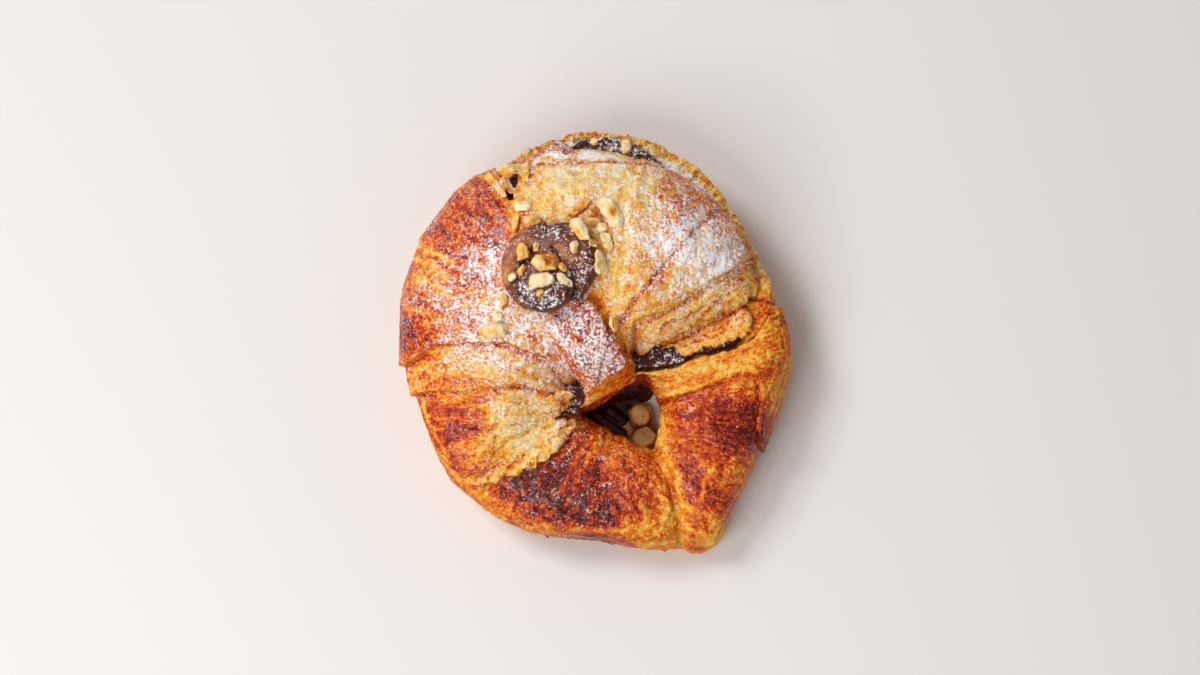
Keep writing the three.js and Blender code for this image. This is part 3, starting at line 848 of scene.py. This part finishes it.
def buildLid():
    piece = fineCopy("crustLid", "lid", lid["voxel"])
    points = pointsOf(piece)
    across, halfWidth, out = lid["knob"]
    points[:, 1] += out * bell(points[:, 0], across, halfWidth) * ramp(points[:, 1], 60, 67)
    movePoints(piece, points)
    firm = np.minimum(tornAway(points), awayFrom(notch, points))
    firm = np.minimum(firm, np.linalg.norm(points - lid["tongueEnd"]["middle"], axis=1) - 9)
    smooth(piece, lid["rounds"], blended(lid["firm"], 1, ramp(firm, 1.0, 4.0)))
    points, normals = surfaceOf(piece)
    high, up, torn, leaf, over = lid["high"], normals[:, 2], tornAway(points), leafEdge(points), overPlate(points)
    relief = bakedRelief(points) + creased(lid["creases"], points)[2]
    relief += high["grain"] * grain(points, 1.7, 14, 11) * blended(0.4, 1, ramp(cloud(points, 14, 12), -0.4, 0.4))
    relief += high["plates"] * (lidPlates(points)[0] - 1)
    relief += bell(torn, 0, 1.8) * clouds(points, *lid["tornRelief"])
    relief += high["leaf"] * ramp(leaf, -0.15, 0.15) * ramp(leaf, 9, 3) * (up > 0)
    relief += high["plate"] * ramp(over, -0.2, 0.2) * ramp(over, 6, 2) - high["underPlate"] * bell(over, -0.8, 0.7)
    for outline, lip, groove in lid["wraps"]:
        relief += wrapStep(outline, points, lip, groove)
    relief *= ramp(up, -0.45, -0.1) * (1 - 0.9 * endOfTongue(points, normals))
    flat = points * (1, 1, 0.2)
    ragged = [clouds(flat, [1, 2.5, 38 + k], [0.6, 1.2, 41 + k]) for k in range(2)] + [np.zeros(len(points))]
    tattered = np.stack(ragged, 1) * (high["tattered"] * bell(torn, 0, 2.2))[:, None]
    movePoints(piece, points + tattered + normals * relief[:, None])
    thinned(piece, lid["mostTriangles"])
    dressLid(piece)
    return piece


def dressLid(piece):
    points, normals = surfaceOf(piece)
    up, shades, strayed = normals[:, 2], lid["shades"], warped(points, *patchStray, 30)
    brown = patched(lid["brown"], strayed, lid["plainBrown"]) + grains(points, *lid["streaks"])
    # painted shade: the crust is painted darker in the thin groove just outside each wrap's edge
    for outline in (upperWrap, middleWrap):
        brown = blended(brown, shades["shadeUnderWrap"], 0.8 * bell(insideOf(outline, points), -0.7, 0.8))
    creaseBrown, creaseShows, creaseHigh = creased(lid["creases"], points)
    brown = blended(brown, creaseBrown, creaseShows)
    edge, leaf = bell(tornAway(points), 0, 1.4), leafEdge(points)
    # torn edges are paler; just outside the second leaf's ragged end the crust is painted browner as shade under
    # that end, and the leaf's lip is paler
    brown = blended(brown, shades["torn"], edge) + 0.22 * bell(leaf, -0.35, 0.35) - 0.12 * bell(leaf, 0.4, 0.5)
    # painted shadow: the lower plate is painted darker along the upper plate's edge, where that edge casts shade
    brown = blended(brown, shades["underPlate"], 0.85 * bell(overPlate(points), -0.9, 0.55))
    layered = shades["sides"] + 0.3 * cloud(points * (0.08, 0.08, 1), 1.3, 15)
    brown = blended(brown, layered, ramp(-up, -0.35, 0.1)) - 0.16 * lidPlates(points)[1]
    cover = 0.9 * patched(lid["sugar"], strayed, lid["plainSugar"])
    band = bell(awayFrom(lid["sugarBand"], strayed), 0, 1.8) * (0.75 + 0.3 * cloud(points, 2.5, 44))
    cover = np.maximum(cover, band) * ramp(up, 0.0, 0.6) * ramp(creaseHigh, -0.7, -0.3)
    end = endOfTongue(points, normals)
    tongue = shades["tongue"] + 0.014 * points[:, 0] + 0.08 * cloud(points, 3, 20)
    cover = cover * (1 - end)
    paintFlow(piece, points, np.maximum(end, ramp(-up, -0.45, -0.2)))
    paint(
        piece, browning=blended(brown, tongue, end), sugar=cover, grains=heaped(cover, points, 16),
        frills=edge * ramp(cloud(points, 3.0, 35), -0.4, 0.2) * ramp(up, -0.5, 0),
    )


lower = {
    "cut": 25.0,  # the height of its cut face
    "rounds": 12,
    "shoulder": 29.6,
    "hole": [8, -22, 17, 13],  # its middle, and where the colour of its wall begins and is all there; painted shade adds to that colour at the back
    "high": {"plates": 0.26, "wall": 0.3, "lip": 0.3, "groove": 0.6, "rim": 0.5},
    "shades": {
        "shadeUnderBand": 0.75, "foot": 0.36, "crumb": 0.14, "rimCrumb": 0.16, "holeWall": 0.62, "holeBackShade": 0.4,
    },
    "cutSugar": [0.62, 0.5],  # on the cut face, and how much less on its rim
    "cutRelief": [[0.8, 2.1, 22], [0.45, 1.0, 23]],
    "streaks": [[0.07, 1.2, 10, 26], [0.17, 3.2, 11, 45]],
    "plateSize": [6.5, 31],
    "voxel": 0.5,
    "mostTriangles": 195000,
    "plainBrown": 0.48,
    "brown": [
        [67, 2, 7, 0.52], [62, 13, 6, 0.42], [65, -16, 7, 0.5], [21, -16, 5, 0.35], [36, -14, 6, 0.42],
        [50, -10, 6, 0.46], [57, -7, 5, 0.46], [39, -34, 9, 0.68], [51, -34, 8, 0.96], [24, -32, 5, 0.42],
        [35, -51, 7, 0.7], [44, -48, 7, 0.73], [53, -47, 5, 0.5], [38, -61, 6, 0.68], [35, -68, 4, 0.5],
        [45, -70, 4, 0.4], [3, -36, 7, 0.56], [-7, -42, 8, 0.73], [-10, -54, 10, 0.95], [-24, -47, 8, 0.9],
        [3, -61, 8, 0.94], [-18, -63, 6, 0.7], [17, -58, 6, 0.7], [21, -68, 4, 0.45], [18, -51, 6, 0.6],
        [-40, -57, 7, 0.42], [-51, -46, 8, 0.5], [26, -47, 4, 0.45], [31, -64, 4, 0.5],
    ],
    "plainSugar": 0.02,
    "sugar": [
        [-10, -50, 12, 0.1], [3, -45, 8, 0.15], [-24, -47, 8, 0.05], [20, -50, 6, 0.1], [39, -20, 8, 0.04],
        [32, -50, 6, 0.08], [39, -34, 10, 0.02], [45, -60, 8, 0.02], [-45, -50, 8, 0.03], [33, -12, 8, 0.12],
    ],
    "creases": [  # wide, brown, high, its line
        [1.2, 0.6, -1.7, [[22.9, -40.1], [26.3, -47.1], [28.6, -54], [29.9, -61], [32, -70.9]]],
        [1.1, 0.32, 0.6, [[25.8, -38.5], [29, -46.2], [31.2, -53.5], [32.4, -60.5]]],
        [0.8, 0.3, 0.5, [[29.1, -20.2], [36.6, -19.3], [43.4, -16.2], [49, -13.4], [55, -12.8], [59.9, -13.2]]],
        [0.6, 0.5, -0.4, [[20.5, -17.5], [30, -16.2], [40, -13.4], [50, -9.6], [58, -7.5]]],
        [1.6, 0.34, 0.4, [[25.6, -26.5], [24.4, -30.5], [24.4, -35.7], [23.3, -38.4]]],
        [0.9, 0.36, 0.5, [[44, -46.6], [40.8, -50.4], [39.5, -58.4]]],
        [0.9, 0.34, 0.5, [[29.3, -59.6], [34.2, -60.7], [39.1, -62.1], [42.9, -64.8], [43.8, -66.7]]],
        [1.0, 0.36, 0.4, [[31.5, -65.9], [36.5, -68.2], [41.3, -70.5], [45.1, -69.8]]],
        [0.8, 0.36, 0.5, [[24.5, -56.3], [27.2, -58.7], [27.1, -63.5], [24.6, -68.3]]],
        [0.8, 0.4, 0.4, [[17.5, -57.8], [20.2, -61.9], [19.4, -66.7]]],
        [1.3, 0.42, 0.3, [[-25.8, -65.5], [-11.5, -68.1], [3.1, -67.9], [13.7, -68.7]]],
        [1.0, 0.3, 0.3, [[17.6, -14.2], [25.1, -13.1], [35.7, -11.1], [46.3, -7.6], [55.1, -3.8]]],
    ],
}


def rimOfLedge(points):
    # the outer edge of the cut lower half, at the back and the upper right
    x, y, z = points.T
    turn, reach = np.degrees(np.arctan2(y, x)) % 360, np.hypot(x, y)
    level = np.abs(z - lower["cut"] + 1) < 1.5
    furthest = np.zeros(360)
    np.maximum.at(furthest, turn[level].astype(int) % 360, reach[level])
    deep = np.interp(turn, np.arange(360) + 0.5, furthest, period=360) - reach
    return bell(deep, 1.4, 2.0) * ramp(z, 21.5, 24) * ramp(y, 10, 22)


def buildLower():
    piece = fineCopy("crustLower", "lower_half", lower["voxel"])
    points, normals = surfaceOf(piece)
    # at the right the outer wall rises to the lid's edge
    x, y, z = points.T
    beside = ramp(y, 25, 17) * ramp(y, -9, -4) * ramp(x, 52, 57) * ramp(normals[:, 2], 0.1, 0.5) * ramp(z, 19, 23)
    shoulder = lower["shoulder"] - 0.05 * np.clip(x - 59, 0, 20) ** 2 - 0.006 * np.clip(y - 4, 0, 30) ** 2
    points[:, 2] += beside * (shoulder - z)
    movePoints(piece, points)
    level = ramp(np.abs(normals[:, 2]), 0.97, 0.99) * (z < 0.5)
    smooth(piece, lower["rounds"], 0.9 - 0.8 * level)
    points, normals = surfaceOf(piece)
    high, up, rim = lower["high"], normals[:, 2], rimOfLedge(points)
    cut = (np.abs(points[:, 2] - lower["cut"]) < 0.8) * (up > 0.6)
    relief = bakedRelief(points) + creased(lower["creases"], points)[2] * (up > 0.1)
    relief += high["plates"] * (peeled(points, *lower["plateSize"])[0] - 1)
    relief += ramp(np.abs(up), 0.75, 0.35) * high["wall"] * cloud(points * (0.1, 0.1, 1), 1.5, 21)
    relief += wrapStep(rightBand, points, high["lip"], high["groove"]) * (up > 0)
    relief += (cut + rim) * clouds(points, *lower["cutRelief"]) + high["rim"] * rim
    relief *= ramp(points[:, 2], 0.4, 2.0) * np.where(cut, ramp(-insideOf(creamEdge, points), -2.5, -1.0), 1)
    movePoints(piece, points + normals * relief[:, None])
    thinned(piece, lower["mostTriangles"])
    dressLower(piece)
    return piece


def dressLower(piece):
    points, normals = surfaceOf(piece)
    up, shades, strayed = normals[:, 2], lower["shades"], warped(points, *patchStray, 40)
    x, y, z = points.T
    wall, rim, inCream = ramp(np.abs(up), 0.8, 0.4), rimOfLedge(points), insideOf(creamEdge, points)
    onWall = 0.24 * cloud(points * (0.09, 0.09, 1), 1.3, 24) + 0.12 * cloud(points * (0.12, 0.12, 1), 0.7, 25)
    brown = patched(lower["brown"], strayed, lower["plainBrown"])
    brown += blended(grains(points, *lower["streaks"]), onWall, wall)
    # painted shade: darker in the groove just outside the right band's edge
    brown = blended(brown, shades["shadeUnderBand"], 0.85 * bell(insideOf(rightBand, points), -0.7, 0.9) * (up > 0))
    creaseBrown, creaseShows, _ = creased(lower["creases"], points)
    brown = blended(brown, creaseBrown, creaseShows * (up > 0.1))
    brown = blended(brown, shades["foot"], 0.6 * ramp(z, 7, 2))
    cut = (np.abs(z - lower["cut"]) < 1.6) * (inCream > -16) * ramp(y, 16, 24) * ramp(up, 0.1, 0.5)
    cut = np.maximum(cut, rim)
    crumb = shades["crumb"] + shades["rimCrumb"] * rim
    brown = blended(brown, crumb * (1 + cloud(points, 1.6, 27)), cut)
    brown -= 0.14 * peeled(points, *lower["plateSize"])[1]
    onCut, lessOnRim = lower["cutSugar"]
    cover = patched(lower["sugar"], strayed, lower["plainSugar"]) * ramp(up, 0.2, 0.8)
    cover = blended(cover, onCut - lessOnRim * rim, cut)
    holeX, holeY, far, close = lower["hole"]
    inner = ramp(np.hypot(x - holeX, y - holeY), far, close) * wall
    # the hole's wall is painted browner, partly its own colour and partly painted shade, and darkest at the back,
    # under the tongue, where it is painted shade
    brown = blended(brown, shades["holeWall"] + shades["holeBackShade"] * ramp(y, -24, -12), inner)
    shown = np.where(cut > 0.3, 0.8 * ramp(-inCream, -3.0, -1.0), 1)
    low = ramp(z, 14, 8) * ramp(z, 2, 4) * ramp(cloud(points, 6, 34), 0.1, 0.4)
    paintFlow(piece, points, ramp(-up, -0.55, -0.3))
    paint(
        piece, browning=brown, sugar=cover, grains=heaped(cover, points, 28) * shown,
        crumbs=rim * ramp(up, -0.3, 0.1), frills=0.35 * low * wall,
    )


crustLid = dressed(buildLid(), crustFinish, "lid", slot="crust")
strew("sugarOnLid", crustLid, sugarFinish, sugarGrains | {"seed": 3})
print("lid")
crustLower = dressed(buildLower(), crustFinish, "lower_half", slot="crust")
strew("sugarOnLower", crustLower, sugarFinish, sugarGrains | {"seed": 4})
strew("rimCrumbs", crustLower, crustFinish, rimCrumbs)
strew("wallFlakes", crustLower, crustFinish, flakes | {"seed": 8})
strew("flapFlakes", crustLid, crustFinish, flakes | {"seed": 9})
print("lower half")


# The chocolate cream between the halves, and the swirl
creamLook = {
    "fillingColors": [(0.0, (46, 12, 8)), (0.5, (76, 22, 12)), (1.0, (116, 44, 26))],
    "fillingRough": 0.22,
    "swirlColors": [(0.0, (48, 16, 8)), (0.5, (122, 57, 32)), (1.0, (202, 132, 84))],
    "swirlRough": 0.42,
    "patches": [3.0, 1.2],  # size, how uneven
    "gloss": 0.3,
    "lumps": 1.8,
    "sugarHigh": 0.5,
    "bump": [0.4, 0.5],  # how strong, how deep
}


def creamMaterial(name, colors, rough):
    material, tree, shader, place = freshMaterial(name)
    size, much = creamLook["patches"]
    base = colorsAlong(tree, swung(tree, noise(tree, place, size), much, painted(tree, "pale")), colors)
    white = sugarMask(tree, place)
    relief = sums(tree, "MULTIPLY_ADD", white, creamLook["sugarHigh"], noise(tree, place, creamLook["lumps"]))
    plug(tree, shader, sugared(tree, base, rough, white) | {
        "Specular IOR Level": creamLook["gloss"], "Normal": bumped(tree, relief, *creamLook["bump"]),
    })
    return material


filling = {
    "voxel": 0.6,
    "rounds": 6,
    "relief": [[0.5, 4.0, 51], [0.25, 1.9, 52]],
    "pale": [0.4, [0.2, 5, 53]],
    "sugar": [[12, 70, 8, 0.4], [30, -9, 8, 0.3], [-4, -22, 6, 0.3]],
}


def buildFilling():
    piece = fineCopy("chocolateFilling", "chocolate_filling", filling["voxel"])
    smooth(piece, filling["rounds"])
    points, normals = surfaceOf(piece)
    relief = clouds(points, *filling["relief"]) * ramp(insideOf(creamEdge, points), 9, 5) - 0.1
    movePoints(piece, points + normals * relief[:, None])
    points, normals = surfaceOf(piece)
    plain, uneven = filling["pale"]
    cover = patched(filling["sugar"], points, 0.1) * ramp(normals[:, 2], 0.2, 0.8)
    paint(piece, pale=plain + clouds(points, uneven), sugar=cover)
    return piece


# Cream is piped as ropes with Geometry Nodes, and grows together with the balls of cream that it ends in
piping = {"pointsOnPath": 60, "sides": 24, "ballDetail": 5}


def ropeTree():
    tree, given = newTree("ropes", {
        "paths": "Geometry", "pointsOnPath": "Int", "sides": "Int", "finish": "Material",
    })
    even = addNode(tree, "GeometryNodeResampleCurve", {"Curve": given["paths"], "Count": given["pointsOnPath"]})
    ring = addNode(tree, "GeometryNodeCurvePrimitiveCircle", {"Resolution": given["sides"], "Radius": 1.0})
    thick = addNode(tree, "GeometryNodeInputRadius")
    rope = addNode(tree, "GeometryNodeCurveToMesh", {
        "Curve": even.outputs["Curve"], "Profile Curve": ring.outputs["Curve"], "Scale": thick.outputs["Radius"],
        "Fill Caps": True,
    })
    return endTree(tree, rope.outputs["Mesh"], given["finish"])


ropesTree = ropeTree()


def pipedCream(name, looks, finish):
    # a rope is a list of [x, y, height, thickness], and a ball [x, y, height, three half sizes, how blunt it is]
    paths = bpy.data.curves.new(name, "CURVE")
    paths.dimensions = "3D"
    for rope in looks["ropes"]:
        spline = paths.splines.new("NURBS")
        spline.points.add(len(rope) - 1)
        for point, (x, y, z, thick) in zip(spline.points, rope):
            point.co = (*toFrame([x, y, z]), 1)
            point.radius = thick / 1000
        spline.order_u = 3
        spline.use_endpoint_u = True
    source = linked(name + "Path", paths)
    growOn(source, ropesTree, piping | {"finish": finish})
    mesh = plainMesh(source)
    bpy.data.objects.remove(source)
    work = bmesh.new()
    work.from_mesh(mesh)
    for *middle, wide, deep, high, blunt in looks["balls"]:
        for point in bmesh.ops.create_icosphere(work, subdivisions=piping["ballDetail"], radius=1)["verts"]:
            up, out = abs(point.co.z), math.hypot(point.co.x, point.co.y)
            grow = (up**blunt + out**blunt) ** (-1 / blunt)
            point.co = toFrame(np.array(middle) + np.array([wide, deep, high]) * grow * point.co)
    bmesh.ops.recalc_face_normals(work, faces=work.faces)
    work.to_mesh(mesh)
    work.free()
    return remeshed(linked(name, mesh), looks["voxel"])


swirl = {
    "voxel": 0.35,
    "rounds": 3,
    "relief": [[0.2, 3.5, 61], [0.1, 1.5, 62]],
    "ropes": [
        [
            [-18.0, 7.6, 52.4, 2.6], [-22.0, 10.5, 53.0, 3.2], [-24.8, 15.5, 53.4, 3.4], [-25.2, 21.0, 53.8, 3.5],
            [-22.8, 26.5, 54.2, 4.0], [-18.0, 30.2, 54.4, 4.8], [-12.0, 31.0, 54.6, 5.0],
        ],
        [
            [-2.0, 29.0, 54.6, 5.0], [1.2, 23.5, 54.2, 4.4], [1.0, 18.0, 53.6, 3.9], [-1.4, 13.4, 52.6, 3.4],
            [-4.0, 9.6, 51.4, 2.8],
        ],
    ],
    "balls": [
        [-13.2, 13.6, 55.0, 10.7, 9.7, 5.3, 3.6], [-7.2, 27.6, 53.6, 11.0, 8.0, 6.2, 2.3],
        [-6.0, 18.5, 53.0, 6.0, 6.0, 4.4, 2.0],
    ],
    "sugar": [
        [-15, 8, 5, 0.38], [-8, 8, 4, 0.34], [-14, 19, 5, 0.24], [-7, 32, 5, 0.36], [-4, 26, 4, 0.1],
        [0, 19, 4, 0.3], [-26, 19, 3, 0.05], [-22, 27, 3, 0.15],
    ],
    # paler patches; the one in the lobe's middle is a painted highlight
    "pale": [
        [-26, 18, 3, 0.85], [-23, 27, 4, 0.7], [-15, 14, 6, 0.3], [-6, 25, 4, 0.85], [-6, 32, 5, 0.25],
        [1, 18, 4, 0.3],
    ],
    "creases": [  # wide, how pale the cream is in the groove or along the line, high, its line; the two sunk grooves are painted darker as shade, and the pale line down the lobe's middle is a painted highlight
        [0.9, -0.3, -1.8, [[-10.5, 25.6], [-8, 21.5], [-5.2, 17.8], [-2.6, 13.2], [-3.2, 9.5]]],
        [0.8, -0.1, -0.9, [
            [-17, 22.2], [-20.3, 19.6], [-22, 16], [-22.1, 12], [-20.1, 7.8], [-16.3, 5.1], [-11.6, 4.7],
            [-7.4, 6.7], [-4.7, 10.5],
        ]],
        [1.5, 1.0, 0.5, [[-10.6, 29.8], [-5.6, 27.4], [-1.8, 22.6]]],
        [0.5, 1.3, 0.3, [[-18.5, 23.6], [-22.1, 20.4], [-23.7, 16], [-23.7, 11.6], [-21.6, 7]]],
    ],
}


def buildSwirl():
    piece = pipedCream("chocolateSwirl", swirl, swirlFinish)
    smooth(piece, swirl["rounds"])
    points, normals = surfaceOf(piece)
    relief = clouds(points, *swirl["relief"]) + creased(swirl["creases"], points)[2] * ramp(normals[:, 2], 0, 0.4)
    movePoints(piece, points + normals * relief[:, None])
    points, normals = surfaceOf(piece)
    # the creases' colour: painted shade in the sunk grooves, a painted highlight along the lobe's middle
    groovePale, grooveShows, _ = creased(swirl["creases"], points)
    pale = blended(patched(swirl["pale"], points, 0.4), groovePale, grooveShows)
    cover = patched(swirl["sugar"], points, 0.2) * ramp(normals[:, 2], 0.2, 0.8)
    paint(piece, pale=pale, sugar=cover, grains=heaped(cover, points, 63))
    return piece


runCreamAndShade = {  # chocolate cream that has run down inside the ring, under the tongue; dark and flat on the floor, it also stands in for the deep shade there
    "voxel": 0.5,
    "rounds": 5,
    "relief": [[0.4, 3.0, 64], [0.2, 1.4, 65]],
    "pale": [0.15, [0.3, 4, 66]],
    "ropes": [
        [
            [-3, -18, 3.0, 3.0], [3, -16, 2.6, 4.2], [9, -14.4, 2.4, 4.6], [15, -13.4, 2.2, 4.0],
            [20, -14.5, 2.0, 2.6],
        ],
        [[-3, -23, 2.4, 3.4], [1, -26, 2.0, 3.6], [6, -29.4, 1.6, 3.2], [10.5, -32, 1.2, 2.4]],
        [[4, -22, 2.0, 3.2], [8, -25.5, 1.8, 3.0], [10.5, -27.5, 1.2, 2.0]],
    ],
    "balls": [
        [4, -19.5, 0.8, 9.0, 6.0, 2.6, 2.0], [11, -17.5, 0.6, 6.5, 4.6, 2.4, 2.0],
        [9, -22.5, 0.4, 4.6, 4.6, 1.9, 2.0], [17, -16, 0.4, 4.0, 2.6, 2.2, 2.0],
    ],
}


def buildRunCreamAndShade():
    piece = pipedCream("chocolateRunAndShade", runCreamAndShade, fillingFinish)
    smooth(piece, runCreamAndShade["rounds"])
    points, normals = surfaceOf(piece)
    points = points + normals * clouds(points, *runCreamAndShade["relief"])[:, None]
    # its underside is pressed nearly flat on the floor
    points[:, 2] = 0.05 + np.where(points[:, 2] < 1, 0.4 * ramp(points[:, 2], -3, 1), points[:, 2] - 0.65)
    movePoints(piece, points)
    plain, uneven = runCreamAndShade["pale"]
    paint(piece, pale=plain + clouds(points, uneven), sugar=np.zeros(len(points)))
    return piece


fillingFinish = creamMaterial("glossyChocolate", creamLook["fillingColors"], creamLook["fillingRough"])
swirlFinish = creamMaterial("satinChocolate", creamLook["swirlColors"], creamLook["swirlRough"])
dressed(buildFilling(), fillingFinish, "chocolate_filling", slot="chocolate_cream")
chocolateSwirl = dressed(buildSwirl(), swirlFinish, "chocolate_swirl", slot="whipped_chocolate")
strew("sugarOnSwirl", chocolateSwirl, sugarFinish, sugarGrains | {"seed": 5})
dressed(buildRunCreamAndShade(), fillingFinish, slot="chocolate_cream")
print("chocolate cream and swirl")


# Thin curled sheets of pastry that stand in the split behind the swirl
splitFlakes = {
    "thick": 0.35,
    "across": 14,
    "down": 8,
    "ragged": 0.45,
    "sugar": 0.3,
    "sheets": [  # four corners, how much it curls, how brown
        [[-31, 59.2, 44.5], [-20.8, 60.8, 43.6], [-20.0, 56.8, 46.6], [-28.8, 55.0, 47.4], 1.6, 0.12],
        [[-30.6, 57.0, 45.4], [-25.5, 58.5, 45.0], [-24.5, 55.6, 47.8], [-29.0, 54.2, 47.8], -0.9, 0.3],
        [[-24.4, 57.0, 46.0], [-19.8, 55.9, 46.0], [-20.6, 51.8, 46.4], [-22.6, 53.6, 44.0], 0.4, 0.24],
        [[-30.2, 54.6, 45.6], [-28.2, 55.8, 43.6], [-24.2, 49.4, 45.4], [-26.6, 48.4, 47.4], 0.5, 0.06],
        [[-25.8, 50.6, 45.4], [-23.0, 51.6, 43.6], [-21.6, 47.2, 46.6], [-24.8, 46.4, 48.6], 0.4, 0.2],
        [[-36.5, 56.5, 42.4], [-34.5, 57.8, 43.4], [-27.4, 47.4, 49.6], [-29.0, 46.4, 48.4], 0.5, 0.3],
        [[-34.6, 57.6, 42.0], [-33.0, 58.8, 42.6], [-27.0, 50.0, 48.6], [-28.4, 49.0, 48.4], 0.5, 0.42],
    ],
}


def buildSplitFlakes():
    across, down = splitFlakes["across"], splitFlakes["down"]
    u, v = [part.reshape(-1, 1) for part in np.meshgrid(np.linspace(0, 1, across), np.linspace(0, 1, down))]
    points, faces, browns = [], [], []
    for number, (*corners, curl, brown) in enumerate(splitFlakes["sheets"]):
        first, second, third, fourth = np.array(corners, float)
        facing = np.cross(second - first, fourth - first)
        facing /= np.linalg.norm(facing)
        sheet = (first * (1 - u) + second * u) * (1 - v) + (fourth * (1 - u) + third * u) * v
        sheet = sheet + facing * curl * (np.sin(math.pi * v) - 0.35 * np.sin(2 * math.pi * u))
        ragged = np.stack([cloud(sheet, 1.3, 80 + number * 3 + k) for k in range(3)], 1)
        start = len(points)
        points.extend(sheet + splitFlakes["ragged"] * ragged)
        browns.extend([brown] * len(sheet))
        for row, column in np.ndindex(down - 1, across - 1):
            at = start + row * across + column
            faces.append((at, at + 1, at + across + 1, at + across))
    mesh = bpy.data.meshes.new("splitFlakes")
    mesh.from_pydata([tuple(point) for point in toFrame(points)], [], faces)
    piece = linked("splitFlakes", mesh)
    paint(piece, browning=browns, sugar=np.full(len(points), splitFlakes["sugar"]))
    paintFlow(piece, np.array(points), np.zeros(len(points)))
    solid = piece.modifiers.new("thick", "SOLIDIFY")
    solid.thickness = splitFlakes["thick"] / 1000
    solid.offset = 0
    settle(piece)
    return piece


dressed(buildSplitFlakes(), crustFinish, slot="crust")
print("flakes in the split")


# Chopped hazelnuts: how toasted each piece is, and how dark its burnt spot, in the order of their numbers
nutLooks = [
    [0.04, 0.9], [0.46, 0.15], [0.36, 0.8], [0.12, 0.15], [0.5, 0.0], [0.1, 0.0], [0.22, 0.0], [0.26, 0.0],
    [0.1, 0.35], [0.1, 0.0], [0.04, 0.0], [0.32, 0.8], [0.38, 0.1], [0.4, 0.1], [0.18, 0.3], [0.34, 0.3],
    [0.1, 0.1], [0.4, 0.0], [0.12, 0.0], [0.06, 0.0], [0.34, 0.1], [0.46, 0.0], [0.42, 0.0], [0.1, 0.0],
    [0.18, 0.25], [0.24, 0.0], [0.2, 0.1], [0.14, 0.0], [0.18, 0.2], [0.28, 0.0], [0.32, 0.3], [0.28, 0.2],
    [0.36, 0.1],
]
nutShape = {
    "voxel": 0.2,
    "grown": 1.1,
    "swell": 0.22,
    "chips": 0.6,
    "rimHigh": 0.3,
    "toastedSide": 0.3,
    "halves": [31, 32],  # rounded halves of nuts, with a brown rim
    "rimBrown": 0.4,
    "rounds": [1, 14],  # of smoothing, for a chopped piece and for a half
    "patches": [1.6, 0.7],
    "rough": 0.42,
    "bump": [0.7, 0.3, 0.3],  # size, how strong, how deep
    "colors": [
        (0.0, (253, 238, 202)), (0.25, (248, 218, 156)), (0.5, (238, 172, 66)), (0.72, (206, 112, 30)),
        (1.0, (104, 46, 18)),
    ],
}


def nutMaterial():
    material, tree, shader, place = freshMaterial("roastedHazelnut")
    size, much = nutShape["patches"]
    lumps, *deep = nutShape["bump"]
    uneven = swung(tree, noise(tree, place, size), much, painted(tree, "toast"))
    plug(tree, shader, {
        "Base Color": colorsAlong(tree, uneven, nutShape["colors"]), "Roughness": nutShape["rough"],
        "Normal": bumped(tree, noise(tree, place, lumps), *deep),
    })
    return material


def buildNut(number, toast, spot):
    nodeName = f"hazelnut_{number:02d}"
    piece = fineCopy(f"hazelnutPiece{number:02d}", nodeName, nutShape["voxel"])
    half = number in nutShape["halves"]
    smooth(piece, nutShape["rounds"][half])
    points, normals = surfaceOf(piece)
    middle = (points.max(0) + points.min(0)) / 2
    size = np.ptp(points, 0).max()
    axes = np.linalg.eigh(np.cov((points - middle).T))[1]
    local = (points - middle) @ axes
    reach = np.abs(local).max(0)
    share = local / reach  # pushed out towards the corners of its block
    points = middle + (share * (1.2 - 0.2 * share**2) * reach * nutShape["grown"]) @ axes.T
    chipped = np.abs(cloud(points, 3.2, number + 20)) + 0.5 * np.abs(cloud(points, 1.7, number))
    rim = bell(np.hypot(share[:, 1], share[:, 2]), 0.7, 0.12) * half
    broken = nutShape["swell"] - nutShape["chips"] * chipped * (1 - half) + nutShape["rimHigh"] * rim
    broken += 0.05 * cloud(points, 0.8, number + 40)
    points = points + normals * broken[:, None]
    points[:, 2] = np.maximum(points[:, 2], 0.03)  # the ones in the hole stand on the floor
    movePoints(piece, points)
    points, normals = surfaceOf(piece)
    side = number * 2.4  # the toasted side looks another way on each piece
    faces = normals @ np.array([math.cos(side), math.sin(side), 0.25])
    burnt = bell(np.linalg.norm(points - middle - (0.1 * size, 0, 0.1 * size), axis=1), 0, 0.2 * size)
    toast = toast + nutShape["toastedSide"] * ramp(faces, 0.3, 0.6) + spot * burnt + nutShape["rimBrown"] * rim
    paint(piece, toast=toast)
    return dressed(piece, nutFinish, nodeName, slot="hazelnut")


nutFinish = nutMaterial()
for number, (toast, spot) in enumerate(nutLooks, start=1):
    buildNut(number, toast, spot)
print("hazelnuts")
